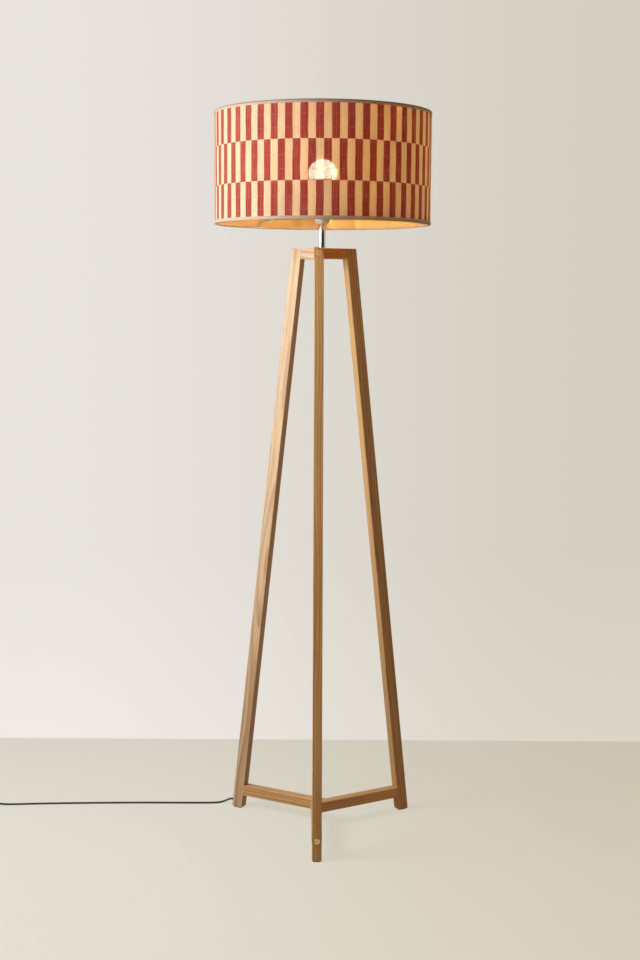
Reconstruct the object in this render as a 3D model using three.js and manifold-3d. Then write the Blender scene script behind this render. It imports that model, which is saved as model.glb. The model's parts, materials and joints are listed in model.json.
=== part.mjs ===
// Tripod floor lamp: wooden tripod, drum shade, E27 LED bulb and a mains lead with an in-line switch.
// Millimetres, +Z up. The origin is on the floor, on the lamp's axis. The front leg points to -Y.

import * as THREE from 'three';
import { mergeVertices } from 'three/addons/utils/BufferGeometryUtils.js';
import Module from 'manifold-3d';

const wasm = await Module();
wasm.setup();

// ---- driving dimensions ----

const GAP = 0.3; // clearance between pieces that touch

const SHADE_RADIUS = 225;
const SHADE_BOTTOM = 1294;
const SHADE_TOP = 1522;
const SHADE_STEPS = 48;
const SKIN_THICKNESS = 1.2;
const TAPE_THICKNESS = 0.5;
const TAPE_WIDTH = 7;
const RING_WIRE = 2.0; // radius of the shade's ring wires
const SPOKE_WIRE = 1.75;
const SPOKE_AZIMUTHS = [130, 250, 10];

const LEG_WIDTH = 19.5;
const LEG_DEPTH = 25;
const LEG_TOP_RADIUS = 61; // from the axis to the middle of the leg
const LEG_FOOT_RADIUS = 211.5;
const HUB_TOP = 1246;
const HUB_HEIGHT = 22;
const STRETCHER_BOTTOM = 31;
const STRETCHER_HEIGHT = 23;
const BAR_WIDTH = 21;
const BAR_OFFSET = 7.5; // the bars pass beside the axis, in a pinwheel
const EDGE_RADIUS = 1.5;
const PAD_THICKNESS = 2;
const LEG_AZIMUTHS = { front: -89.1, right: 30.9, left: 150.9 };

const BOLT_RADIUS = 3;
const BOLT_HEAD_RADIUS = 6.35;
const BOLT_HEAD_THICKNESS = 2.5;
const BOLT_SEAT_DEPTH = 1.8; // below the leg's outer face, at the bolt's axis
const BOLT_LENGTH = 42;

const LAMP_TUBE_RADIUS = 5;
const LAMP_TUBE_BORE = 3.8;
const LAMP_TUBE_BOTTOM = 1230;
const LAMP_TUBE_TOP = 1304;
const HUB_BORE = 5.3;
const RECESS_RADIUS = 9.6; // under the hub, for the nut and washer
const RECESS_TOP = 1239;
const STEM_RADIUS = 7.6;
const HOLDER_BOTTOM = 1297.5;

const CORD_RADIUS = 2.25;
const CORD_FLOOR = CORD_RADIUS + 0.05; // height of the lead's middle where it lies on the floor
const LEAD_SIDE = -14.5; // the inner lead's place across the left bar and leg
const LEAD_HUB_HEIGHT = 1226.8;

const COIL_CENTRE = [-866, 71];
const COIL_INNER = 18.25;
const COIL_OUTER = 31.75;
const COIL_BOTTOM = 1;
const COIL_TOP = 14.5;

const SWITCH_CENTRE = [-780, 100.5];
const SWITCH_LENGTH = 64;
const SWITCH_WIDTH = 26;
const SWITCH_SPLIT = 10; // height where base and cover meet
const SWITCH_TOP = 18;
const SWITCH_WALL = 1.8;
const ROCKER_PIVOT = 14;
const ROCKER_TILT = 7; // degrees to either side

const PLUG_Y = 41.5;
const PLUG_FRONT = -757; // X of the face that carries the pins
const PLUG_THICKNESS = 13.5;
const PIN_SPACING = 18.6;

const LEAN = (LEG_FOOT_RADIUS - LEG_TOP_RADIUS) / HUB_TOP;
const FOOT_BOTTOM = PAD_THICKNESS + GAP;

// ---- materials ----

function paint(color, roughness, metalness = 0) {
  return new THREE.MeshStandardMaterial({ color, roughness, metalness });
}

const MATERIALS = {
  legWood: () => paint(0xc9955c, 0.55),
  barWood: () => paint(0xc28a50, 0.55),
  felt: () => paint(0x4a3c30, 0.95),
  brass: () => paint(0xb48a45, 0.35, 1),
  zinc: () => paint(0xb9b9b4, 0.4, 1),
  chrome: () => paint(0xe8e8ea, 0.08, 1),
  whitePlastic: () => paint(0xf1eee6, 0.4),
  ceramic: () => paint(0xece6da, 0.6),
  wire: () => paint(0xefeae0, 0.45, 0.3),
  straw: () => paint(0xb9563f, 0.85),
  tape: () => paint(0xb39a78, 0.8),
  opal: () => paint(0xfff3dc, 0.3),
  cord: () => paint(0x3a2412, 0.4),
  blackPlastic: () => paint(0x2b2019, 0.45),
};

// ---- geometry helpers ----

// Leaves only positions, drops collapsed triangles and turns the faces outwards.
function closed(geometry) {
  const bare = geometry.clone();
  bare.deleteAttribute('normal');
  bare.deleteAttribute('uv');
  const merged = mergeVertices(bare, 1e-4);
  const position = merged.getAttribute('position');
  const source = merged.index.array;
  const kept = [];
  const [a, b, c] = [new THREE.Vector3(), new THREE.Vector3(), new THREE.Vector3()];
  let volume = 0;
  for (let i = 0; i < source.length; i += 3) {
    const [p, q, r] = [source[i], source[i + 1], source[i + 2]];
    if (p === q || q === r || r === p) continue;
    kept.push(p, q, r);
    a.fromBufferAttribute(position, p);
    b.fromBufferAttribute(position, q);
    c.fromBufferAttribute(position, r);
    volume += a.dot(b.cross(c));
  }
  if (volume < 0) kept.reverse();
  const result = new THREE.BufferGeometry();
  result.setAttribute('position', position);
  result.setIndex(kept);
  return result;
}

function toSolid(geometry) {
  const { index, attributes } = closed(geometry);
  return new wasm.Manifold(new wasm.Mesh({
    numProp: 3,
    vertProperties: new Float32Array(attributes.position.array),
    triVerts: new Uint32Array(index.array),
  }));
}

function toGeometry(solid) {
  const { vertProperties, triVerts } = solid.getMesh();
  const geometry = new THREE.BufferGeometry();
  geometry.setAttribute('position', new THREE.BufferAttribute(vertProperties, 3));
  geometry.setIndex(new THREE.BufferAttribute(triVerts, 1));
  return geometry;
}

function cut(geometry, ...tools) {
  return toGeometry(tools.reduce((solid, tool) => solid.subtract(toSolid(tool)), toSolid(geometry)));
}

function join(geometry, ...others) {
  return toGeometry(others.reduce((solid, other) => solid.add(toSolid(other)), toSolid(geometry)));
}

// A closed profile of [radius, height] pairs, turned about Z.
function turned(profile, steps = 24) {
  const points = profile.map(([radius, height]) => new THREE.Vector2(radius, height));
  return new THREE.LatheGeometry(points, steps).rotateX(Math.PI / 2);
}

const looped = (profile) => [...profile, profile[0]];

function box(x0, x1, y0, y1, z0, z1) {
  const geometry = new THREE.BoxGeometry(x1 - x0, y1 - y0, z1 - z0);
  return geometry.translate((x0 + x1) / 2, (y0 + y1) / 2, (z0 + z1) / 2);
}

function cylinderX(radius, x0, x1, y, z, steps = 16) {
  const geometry = new THREE.CylinderGeometry(radius, radius, x1 - x0, steps).rotateZ(Math.PI / 2);
  return geometry.translate((x0 + x1) / 2, y, z);
}

function cylinderZ(radius, z0, z1, steps = 24) {
  return new THREE.CylinderGeometry(radius, radius, z1 - z0, steps).rotateX(Math.PI / 2)
    .translate(0, 0, (z0 + z1) / 2);
}

function roundedRectangle(width, height, radius) {
  const [w, h] = [width / 2 - radius, height / 2 - radius];
  const shape = new THREE.Shape();
  shape.absarc(w, h, radius, 0, Math.PI / 2);
  shape.absarc(-w, h, radius, Math.PI / 2, Math.PI);
  shape.absarc(-w, -h, radius, Math.PI, 1.5 * Math.PI);
  shape.absarc(w, -h, radius, 1.5 * Math.PI, 2 * Math.PI);
  shape.closePath();
  return shape;
}

function extruded(shape, depth, curveSegments = 3) {
  return new THREE.ExtrudeGeometry(shape, { depth, bevelEnabled: false, curveSegments });
}

function polygon(points) {
  return new THREE.Shape(points.map(([x, y]) => new THREE.Vector2(x, y)));
}

function regularPolygon(radius, sides) {
  const angles = Array.from({ length: sides }, (_, i) => (2 * Math.PI * i) / sides);
  return polygon(angles.map((angle) => [radius * Math.cos(angle), radius * Math.sin(angle)]));
}

// A curve whose sweep has one step per station, so straight stretches need only two.
class StationCurve extends THREE.Curve {
  constructor(stations) {
    super();
    this.stations = stations;
  }

  getPoint(t, target = new THREE.Vector3()) {
    const last = this.stations.length - 1;
    const at = Math.min(Math.max(t, 0), 1) * last;
    const i = Math.min(Math.floor(at), last - 1);
    return target.lerpVectors(this.stations[i], this.stations[i + 1], at - i);
  }

  getPointAt(t, target) {
    return this.getPoint(t, target);
  }

  getTangent(t, target = new THREE.Vector3()) {
    const last = this.stations.length - 1;
    const i = Math.round(Math.min(Math.max(t, 0), 1) * last);
    const before = this.stations[Math.max(i - 1, 0)];
    const after = this.stations[Math.min(i + 1, last)];
    return target.subVectors(after, before).normalize();
  }

  getTangentAt(t, target) {
    return this.getTangent(t, target);
  }

  getSpacedPoints(divisions) {
    return this.getPoints(divisions);
  }
}

function curveThrough(points) {
  const places = points.map((point) => new THREE.Vector3(...point));
  return new THREE.CatmullRomCurve3(places, false, 'centripetal');
}

// Smooth stations through hand-placed points: short spans are rounded, long ones stay straight.
function stationsThrough(points, longSpan = 16, stepsPerSpan = 2) {
  const curve = curveThrough(points);
  const spans = points.length - 1;
  const stations = [curve.getPoint(0)];
  for (let i = 0; i < spans; i++) {
    const span = new THREE.Vector3(...points[i]).distanceTo(new THREE.Vector3(...points[i + 1]));
    const steps = span > longSpan ? 1 : stepsPerSpan;
    for (let k = 1; k <= steps; k++) stations.push(curve.getPoint((i + k / steps) / spans));
  }
  return stations;
}

function tubeAlong(curve, steps, radius = CORD_RADIUS, sides = 8) {
  return new THREE.ExtrudeGeometry(regularPolygon(radius, sides), { steps, extrudePath: curve });
}

const lamp = new THREE.Group();
lamp.name = 'tripod_floor_lamp';

function add(name, geometry, material, parent = lamp) {
  const mesh = new THREE.Mesh(closed(geometry), MATERIALS[material]());
  mesh.name = name;
  parent.add(mesh);
  return mesh;
}

// ---- tripod: each leg, with its two bars, is drawn in a frame whose X runs outwards ----

const BAR_INNER_SIDE = BAR_WIDTH / 2 - BAR_OFFSET;
const LEG_BACK = -BAR_OFFSET - LEG_WIDTH / 2;
const legMiddle = (z) => LEG_TOP_RADIUS + (HUB_TOP - z) * LEAN;

// Slants a geometry along the leg: x is measured from the leg's middle at every height.
function leaning(geometry) {
  const slant = new THREE.Matrix4().set(
    1, 0, -LEAN, LEG_TOP_RADIUS + HUB_TOP * LEAN,
    0, 1, 0, 0,
    0, 0, 1, 0,
    0, 0, 0, 1,
  );
  return geometry.applyMatrix4(slant);
}

function legBlank() {
  const section = roundedRectangle(LEG_DEPTH, LEG_WIDTH, EDGE_RADIUS);
  const straight = extruded(section, HUB_TOP - FOOT_BOTTOM).translate(0, -BAR_OFFSET, FOOT_BOTTOM);
  return leaning(straight);
}

const boltSeat = (z) => legMiddle(z) + LEG_DEPTH / 2 - BOLT_SEAT_DEPTH;

function boltHole(z) {
  const through = cylinderX(BOLT_RADIUS + GAP, legMiddle(z) - 20, legMiddle(z) + 20, -BAR_OFFSET, z, 12);
  const seat = cylinderX(BOLT_HEAD_RADIUS + GAP, boltSeat(z), boltSeat(z) + 8, -BAR_OFFSET, z, 20);
  return [through, seat];
}

// Ends of a bar: the inner end butts against the next bar's side, the outer end against the leg.
function barEndCutters(z0, z1) {
  const reach = 60;
  const slope = Math.tan(Math.PI / 6);
  const innerEnd = (y) => ((BAR_INNER_SIDE + GAP) / Math.cos(Math.PI / 6)) + y * slope;
  const inner = extruded(polygon([
    [innerEnd(-reach), -reach], [innerEnd(reach), reach], [-2 * reach, reach], [-2 * reach, -reach],
  ]), z1 - z0 + 20).translate(0, 0, z0 - 10);
  const outer = leaning(box(-LEG_DEPTH / 2 - GAP, reach, -reach, reach, z0 - 10, z1 + 10));
  return [inner, outer];
}

function barBlank(bottom, height, length) {
  const section = roundedRectangle(height, BAR_WIDTH, EDGE_RADIUS);
  const blank = extruded(section, length + 40).rotateY(Math.PI / 2);
  return blank.translate(-20, -BAR_OFFSET, bottom + height / 2);
}

function insertBore(z) {
  const end = legMiddle(z) - LEG_DEPTH / 2;
  const wide = cylinderX(5 + GAP, end - 16, end + 5, -BAR_OFFSET, z, 16);
  const narrow = cylinderX(BOLT_RADIUS + GAP, end - 24, end + 5, -BAR_OFFSET, z, 12);
  return [wide, narrow];
}

function makeBar(bottom, height) {
  const middle = bottom + height / 2;
  const blank = barBlank(bottom, height, legMiddle(bottom));
  return cut(blank, ...barEndCutters(bottom, bottom + height), ...insertBore(middle));
}

const HUB_CUT_BOTTOM = 1200; // cuts from below start clear of the hub

// The lamp tube's bore and the recess below it, shared by the three hub bars.
function hubBores() {
  const bore = cylinderZ(HUB_BORE, HUB_CUT_BOTTOM, HUB_TOP + 5);
  const recess = cylinderZ(RECESS_RADIUS, HUB_CUT_BOTTOM, RECESS_TOP);
  return [bore, recess];
}

// The lead's way out of the recess: a slot under the left bar, then a rebate along its rear edge.
function hubLeadSlots() {
  const slotTop = LEAD_HUB_HEIGHT + 3.4;
  const slotTurn = THREE.MathUtils.degToRad(-30);
  const slot = box(0, 21, -3.8, 3.8, HUB_CUT_BOTTOM, slotTop).rotateZ(slotTurn).translate(7, -5, 0);
  const rebate = box(20, 80, -30, LEAD_SIDE + 3.1, HUB_CUT_BOTTOM, slotTop);
  return [slot, rebate];
}

function bolt(z) {
  const head = BOLT_HEAD_THICKNESS;
  const body = turned([
    [0, -BOLT_LENGTH], [BOLT_RADIUS - 0.6, -BOLT_LENGTH], [BOLT_RADIUS, -BOLT_LENGTH + 0.8],
    [BOLT_RADIUS, 0], [BOLT_HEAD_RADIUS, 0], [BOLT_HEAD_RADIUS, head - 0.6],
    [BOLT_HEAD_RADIUS - 0.6, head], [0, head],
  ], 16);
  const socket = extruded(regularPolygon(2.3, 6), 3).translate(0, 0, head - 1.8);
  return cut(body, socket).rotateY(Math.PI / 2).translate(boltSeat(z) + GAP, -BAR_OFFSET, z);
}

function insert(z) {
  const length = 13;
  const bore = BOLT_RADIUS + GAP;
  const sleeve = turned(looped([[bore, 0], [5, 0], [5, length], [bore, length]]), 16);
  return sleeve.rotateY(Math.PI / 2).translate(legMiddle(z) - LEG_DEPTH / 2 - length - 2, -BAR_OFFSET, z);
}

function footPad() {
  const section = roundedRectangle(LEG_DEPTH - 5, LEG_WIDTH - 4, 2);
  return extruded(section, PAD_THICKNESS).translate(legMiddle(0), -BAR_OFFSET, 0);
}

// ---- inner lead: down the lamp tube, through the hub, then down the back of the left leg ----

// Strain relief at the foot: a block from x0 to x1, and a sleeve around height z that ends at tip.
const RELIEF = { x0: 202, x1: 212, tip: 232, z: 12, below: 7, above: 9, front: -10.5 };
const LEAD_END = RELIEF.z + RELIEF.above + 0.7; // where the lead enters the strain relief
const GROOVE_TOP = 1206; // top of the groove's straight part
const LEAD_BEND = [
  [46, LEAD_HUB_HEIGHT], [53, 1225.6], [59, 1221.6], [63.4, 1215], [legMiddle(1204), 1204],
];

const LEAD_POINTS = [
  [0, 0, 1310.4], [0, 0, 1236], [0, 0, 1230], [1.2, -0.8, 1225.3], [4.6, -3.1, 1221.4],
  [10.5, -7.2, 1220.2], [17.5, -11.2, 1222.4], [24, -13.8, 1225.2], [30, LEAD_SIDE, 1226.6],
  [38, LEAD_SIDE, LEAD_HUB_HEIGHT],
  ...LEAD_BEND.map(([x, z]) => [x, LEAD_SIDE, z]),
  [legMiddle(GROOVE_TOP - 16), LEAD_SIDE, GROOVE_TOP - 16],
  [legMiddle(60), LEAD_SIDE, 60],
  [legMiddle(LEAD_END), LEAD_SIDE, LEAD_END],
];

// The outline of a line with a width, for points [x, y] in order.
function thickLine(points, half) {
  const sides = points.map((point, i) => {
    const [ax, ay] = points[Math.max(i - 1, 0)];
    const [bx, by] = points[Math.min(i + 1, points.length - 1)];
    const length = Math.hypot(bx - ax, by - ay);
    const [nx, ny] = [-(by - ay) / length * half, (bx - ax) / length * half];
    return [[point[0] + nx, point[1] + ny], [point[0] - nx, point[1] - ny]];
  });
  return polygon([...sides.map(([left]) => left), ...sides.map(([, right]) => right).reverse()]);
}

function legGroove() {
  const half = CORD_RADIUS + 0.85;
  const opening = LEG_BACK - 3;
  const floor = LEAD_SIDE + CORD_RADIUS + 0.4;
  const straight = leaning(box(-half, half, opening, floor, LEAD_END - 2, GROOVE_TOP));
  const bendEnd = GROOVE_TOP - 6;
  const bendPoints = [[36, LEAD_HUB_HEIGHT], ...LEAD_BEND, [legMiddle(bendEnd), bendEnd]];
  const middle = stationsThrough(bendPoints.map(([x, z]) => [x, 0, z])).map(({ x, z }) => [x, z]);
  const bend = extruded(thickLine(middle, half), floor - opening);
  return [straight, bend.rotateX(Math.PI / 2).translate(0, floor, 0)];
}

function reliefPocket() {
  const { x0, x1, tip, z, below, above, front } = RELIEF;
  const block = box(x0 - GAP, x1 + GAP, -30, front + GAP, z - below - GAP, z + above + 2 * GAP);
  const channel = box(x1 - 1, tip, -30, front + 0.5, z - 4.7, z + 4.7);
  return [block, channel];
}

function strainRelief() {
  const { x0, x1, tip, z, below, above, front } = RELIEF;
  const block = box(x0, x1, LEG_BACK + 0.1, front, z - below, z + above);
  const overlap = 2;
  const sleeve = new THREE.CylinderGeometry(2.9, 4.2, tip - x1 + overlap, 12).rotateZ(-Math.PI / 2);
  sleeve.translate((tip + x1 - overlap) / 2, LEAD_SIDE, z);
  return join(block, sleeve);
}

function makeTripod() {
  for (const [side, azimuth] of Object.entries(LEG_AZIMUTHS)) {
    const frame = new THREE.Group();
    frame.rotation.z = THREE.MathUtils.degToRad(azimuth);
    lamp.add(frame);
    const hubMiddle = HUB_TOP - HUB_HEIGHT / 2;
    const stretcherMiddle = STRETCHER_BOTTOM + STRETCHER_HEIGHT / 2;
    const isLeft = side === 'left';
    const leadCuts = isLeft ? [...legGroove(), ...reliefPocket()] : [];
    const leg = cut(legBlank(), ...boltHole(hubMiddle), ...boltHole(stretcherMiddle), ...leadCuts);
    add(`${side}_leg`, leg, 'legWood', frame);
    const hubCuts = isLeft ? [...hubBores(), ...hubLeadSlots()] : hubBores();
    const hubBar = cut(makeBar(HUB_TOP - HUB_HEIGHT, HUB_HEIGHT), ...hubCuts);
    add(`${side}_hub_bar`, hubBar, 'barWood', frame);
    add(`${side}_stretcher_bar`, makeBar(STRETCHER_BOTTOM, STRETCHER_HEIGHT), 'barWood', frame);
    for (const [level, z] of [['upper', hubMiddle], ['lower', stretcherMiddle]]) {
      add(`${side}_${level}_bolt`, bolt(z), 'brass', frame);
      add(`${side}_${level}_insert`, insert(z), 'zinc', frame);
    }
    add(`${side}_foot_pad`, footPad(), 'felt', frame);
    if (isLeft) {
      const stations = stationsThrough(LEAD_POINTS);
      add('inner_lead', tubeAlong(new StationCurve(stations), stations.length - 1), 'cord', frame);
      add('strain_relief', strainRelief(), 'blackPlastic', frame);
    }
  }
}

// ---- stem: threaded lamp tube, its nut and washer in the hub, and the chrome tube over it ----

function ringSolid(inner, outer, bottom, top, steps = 24) {
  return turned(looped([[inner, bottom], [outer, bottom], [outer, top], [inner, top]]), steps);
}

function makeStem() {
  add('lamp_tube', ringSolid(LAMP_TUBE_BORE, LAMP_TUBE_RADIUS, LAMP_TUBE_BOTTOM, LAMP_TUBE_TOP), 'zinc');
  add('hub_washer', ringSolid(HUB_BORE, 9, RECESS_TOP - GAP - 1.2, RECESS_TOP - GAP), 'zinc');
  const nutTop = RECESS_TOP - 2 * GAP - 1.2;
  const nut = extruded(regularPolygon(8.1, 6), 5).translate(0, 0, nutTop - 5);
  add('hub_nut', cut(nut, cylinderZ(HUB_BORE, nutTop - 8, nutTop + 3)), 'brass');
  const stem = ringSolid(STEM_RADIUS - 1, STEM_RADIUS, HUB_TOP + GAP, HOLDER_BOTTOM - GAP, 32);
  add('stem_tube', stem, 'chrome');
}

// ---- E27 lampholder ----

const CAP_TOP = 1320;
const FLANGE_TOP = 1340.3; // the shade's fitter rests here
const SET_SCREW_AZIMUTH = THREE.MathUtils.degToRad(222);

function holderCap() {
  const cap = turned(looped([
    [HUB_BORE, HOLDER_BOTTOM], [11, HOLDER_BOTTOM], [13.4, 1299.5], [16.8, 1306], [19.2, 1311.5],
    [19.6, CAP_TOP], [17.8, CAP_TOP], [17.4, 1312], [15, 1307], [11, 1301.5], [HUB_BORE, 1300.5],
  ]), 32);
  const hole = cylinderX(2.1, 4, 24, 0, 1301.5, 10).rotateZ(SET_SCREW_AZIMUTH);
  return cut(cap, hole);
}

function holderBody() {
  return turned(looped([
    [16.9, CAP_TOP + GAP], [19.6, CAP_TOP + GAP], [19.6, 1336.5], [24, 1337.5], [24, FLANGE_TOP],
    [19.6, FLANGE_TOP], [19.6, 1356], [18.4, 1356], [18.4, 1343.5], [16.9, 1342.5],
  ]), 32);
}

function makeLampholder() {
  add('holder_cap', holderCap(), 'whitePlastic');
  add('holder_set_screw', cylinderX(1.75, 6, 13.6, 0, 1301.5, 10).rotateZ(SET_SCREW_AZIMUTH), 'zinc');
  add('holder_body', holderBody(), 'whitePlastic');
  add('holder_core', turned([
    [0, 1311], [15, 1311], [16.4, 1313], [16.4, 1342], [14.8, 1342], [14.8, 1316], [0, 1316],
  ]), 'ceramic');
  add('screw_shell', ringSolid(13.7, 14.4, 1318, 1341), 'brass');
  add('centre_contact', box(-4, 4, -2.2, 2.2, 1316.3, 1317.4), 'brass');
}

// The ring that screws down on the lampholder and holds the shade, with finger lobes around it.
function clampRing() {
  const lobes = 16;
  const outline = [];
  for (let i = 0; i < lobes * 3; i++) {
    const radius = i % 3 === 0 ? 24.3 : 25.6;
    const angle = (2 * Math.PI * i) / (lobes * 3);
    outline.push([radius * Math.cos(angle), radius * Math.sin(angle)]);
  }
  const bottom = FLANGE_TOP + 3.4;
  const ring = extruded(polygon(outline), 8).translate(0, 0, bottom);
  return cut(ring, cylinderZ(20, bottom - 2, bottom + 10));
}

// ---- bulb ----

const BULB_CENTRE = 1399; // middle of the round part
const BULB_RADIUS = 30;
const DOME_BOTTOM = 1386.3;

function arcProfile(radius, fromHeight, steps) {
  const start = Math.asin((fromHeight - BULB_CENTRE) / radius);
  return Array.from({ length: steps + 1 }, (_, i) => {
    const angle = start + (i / steps) * (Math.PI / 2 - start);
    const across = i === steps ? 0 : radius * Math.cos(angle);
    return [across, BULB_CENTRE + radius * Math.sin(angle)];
  });
}

function makeBulb() {
  add('bulb_cap', turned([
    [0, 1317.9], [4, 1317.9], [5, 1320], [13.1, 1323], [13.1, 1344.4], [0, 1344.4],
  ]), 'zinc');
  add('bulb_body', turned([
    [0, 1344.8], [13.6, 1344.8], [14.6, 1350], [19.5, 1365], [24.5, 1378], [27, 1386], [0, 1386],
  ]), 'whitePlastic');
  add('led_board', ringSolid(2, 21, 1386.4, 1388), 'zinc');
  const outer = arcProfile(BULB_RADIUS, DOME_BOTTOM, 7);
  const inner = arcProfile(BULB_RADIUS - 1.2, DOME_BOTTOM, 6).reverse();
  add('bulb_dome', turned([...inner, ...outer]), 'opal');
}

// ---- drum shade ----

const SKIN_OUTER = SHADE_RADIUS - TAPE_THICKNESS - GAP;
const SKIN_INNER = SKIN_OUTER - SKIN_THICKNESS;
const RING_CENTRE = SKIN_INNER - GAP - RING_WIRE;

function wireRing(z) {
  const section = Array.from({ length: 6 }, (_, i) => {
    const angle = (Math.PI * i) / 3;
    return [RING_CENTRE + RING_WIRE * Math.cos(angle), z + RING_WIRE * Math.sin(angle)];
  });
  return turned(looped(section), SHADE_STEPS);
}

function spoke(azimuth, ringZ) {
  const start = new THREE.Vector3(24.9, 0, FLANGE_TOP + 1.2);
  const end = new THREE.Vector3(RING_CENTRE, 0, ringZ);
  const wire = new THREE.CylinderGeometry(SPOKE_WIRE, SPOKE_WIRE, start.distanceTo(end), 8);
  const along = new THREE.Vector3().subVectors(end, start).normalize();
  const turn = new THREE.Quaternion().setFromUnitVectors(new THREE.Vector3(0, 1, 0), along);
  wire.applyQuaternion(turn).translate(...start.clone().add(end).multiplyScalar(0.5));
  return wire.rotateZ(THREE.MathUtils.degToRad(azimuth));
}

function shadeFitter(ringZ) {
  const seat = ringSolid(20.3, 26, FLANGE_TOP + GAP, FLANGE_TOP + 2.6);
  return join(wireRing(ringZ), seat, ...SPOKE_AZIMUTHS.map((azimuth) => spoke(azimuth, ringZ)));
}

// Edge tape: up the outside of the skin and a short way under the ring; mirrored at the top edge.
function edgeTape(edge, inwards) {
  const [outer, inner] = [SHADE_RADIUS, SHADE_RADIUS - TAPE_THICKNESS];
  const lip = RING_CENTRE - RING_WIRE;
  const face = edge + inwards * TAPE_THICKNESS;
  return turned(looped([
    [lip, edge], [outer, edge], [outer, edge + inwards * TAPE_WIDTH], [inner, edge + inwards * TAPE_WIDTH],
    [inner, face], [lip, face],
  ]), SHADE_STEPS);
}

function makeShade() {
  const ringInset = TAPE_THICKNESS + GAP + RING_WIRE;
  add('shade_fitter', shadeFitter(SHADE_BOTTOM + ringInset), 'wire');
  add('shade_top_ring', wireRing(SHADE_TOP - ringInset), 'wire');
  const skinEnd = TAPE_THICKNESS + GAP;
  const skin = ringSolid(SKIN_INNER, SKIN_OUTER, SHADE_BOTTOM + skinEnd, SHADE_TOP - skinEnd, SHADE_STEPS);
  add('shade_skin', skin, 'straw');
  add('shade_bottom_tape', edgeTape(SHADE_BOTTOM, 1), 'tape');
  add('shade_top_tape', edgeTape(SHADE_TOP, -1), 'tape');
  add('shade_clamp_ring', clampRing(), 'whitePlastic');
}

// ---- the free lead: strain relief to switch, switch to coil, coil to plug ----

const SWITCH_CORD_HEIGHT = 8;
const SWITCH_HALF = SWITCH_LENGTH / 2;

const RUN_POINTS = [
  [-196.2, 125.7, 11.9], [-201.5, 128.5, 11.1], [-208, 130, 8.2], [-215, 129.4, 5.4], [-223, 127.6, 3.4],
  [-233, 126.4, 2.5], [-245, 125.5, CORD_FLOOR], [-260, 124.8, CORD_FLOOR], [-280, 124.3, CORD_FLOOR],
  [-310, 124, CORD_FLOOR], [-350, 123.8, CORD_FLOOR], [-400, 123.2, CORD_FLOOR], [-450, 121.8, CORD_FLOOR],
  [-500, 120, CORD_FLOOR], [-550, 117.6, CORD_FLOOR], [-600, 114.8, CORD_FLOOR], [-645, 111.6, CORD_FLOOR],
  [-685, 107.8, CORD_FLOOR], [-708, 104.6, 3.2], [-727, 101.8, 5.9],
  [SWITCH_CENTRE[0] + SWITCH_HALF + GAP, SWITCH_CENTRE[1], SWITCH_CORD_HEIGHT],
];

const LINK_POINTS = [
  [SWITCH_CENTRE[0] - SWITCH_HALF - GAP, SWITCH_CENTRE[1], SWITCH_CORD_HEIGHT],
  [-820, 100.5, 7.2], [-829, 100.5, 5.3], [-839, 100.5, 3.7], [-849.2, 100.5, 3.3],
];

const TAIL_POINTS = [
  [-849.2, PLUG_Y, 11.9], [-845, PLUG_Y, 11.3], [-839, PLUG_Y, 9.8], [-832, PLUG_Y, 8.2],
  [-824, PLUG_Y, 7.1], [-817.3, PLUG_Y, PLUG_THICKNESS / 2],
];

function looseCord(points, steps) {
  return tubeAlong(curveThrough(points), steps);
}

function coilSolid() {
  const corner = 3;
  return turned(looped([
    [COIL_INNER + corner, COIL_BOTTOM], [COIL_OUTER - corner, COIL_BOTTOM],
    [COIL_OUTER, COIL_BOTTOM + corner], [COIL_OUTER, COIL_TOP - corner],
    [COIL_OUTER - corner, COIL_TOP], [COIL_INNER + corner, COIL_TOP],
    [COIL_INNER, COIL_TOP - corner], [COIL_INNER, COIL_BOTTOM + corner],
  ]), 32);
}

// A strap around the coil's turns, a plain band with a hole that the coil passes through.
function coilTie() {
  const [x0, x1] = [COIL_INNER - GAP - 0.8, COIL_OUTER + GAP];
  const [z0, z1] = [COIL_BOTTOM - GAP, COIL_TOP + GAP];
  const strap = 0.7;
  return cut(
    box(x0 - strap, x1 + strap, -4, 4, z0 - strap, z1 + strap),
    box(x0, x1, -6, 6, z0, z1),
  );
}

function makeCord() {
  add('cord_run', looseCord(RUN_POINTS, 50), 'cord');
  add('cord_link', looseCord(LINK_POINTS, 5), 'cord');
  add('cord_tail', looseCord(TAIL_POINTS, 4), 'cord');
  const coil = new THREE.Group();
  coil.position.set(COIL_CENTRE[0], COIL_CENTRE[1], 0);
  lamp.add(coil);
  add('cord_coil', coilSolid(), 'cord', coil);
  add('cord_tie', coilTie().rotateZ(THREE.MathUtils.degToRad(200)), 'blackPlastic', coil);
}

// ---- in-line rocker switch ----

const SWITCH_CORNER = 7;

function switchShell(bottom, height) {
  const outline = roundedRectangle(SWITCH_LENGTH, SWITCH_WIDTH, SWITCH_CORNER);
  return extruded(outline, height, 4).translate(0, 0, bottom);
}

function switchPocket(bottom, top) {
  const length = SWITCH_LENGTH - 2 * SWITCH_WALL;
  const width = SWITCH_WIDTH - 2 * SWITCH_WALL;
  const outline = roundedRectangle(length, width, SWITCH_CORNER - SWITCH_WALL);
  return extruded(outline, top - bottom, 4).translate(0, 0, bottom);
}

function rockerLug(side) {
  return box(-3, 3, side * 7.6 - 0.9, side * 7.6 + 0.9, 11.5, SWITCH_TOP - 1);
}

function switchCover() {
  const bottom = SWITCH_SPLIT + GAP;
  const pocket = switchPocket(bottom - 1, SWITCH_TOP - SWITCH_WALL);
  const shell = cut(switchShell(bottom, SWITCH_TOP - bottom), pocket);
  const window = box(-11.4, 11.4, -6.5, 6.5, 5, SWITCH_TOP + 5);
  const framed = join(cut(shell, window), rockerLug(-1), rockerLug(1));
  return cut(framed, pinBoreAcross(1.3));
}

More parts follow.
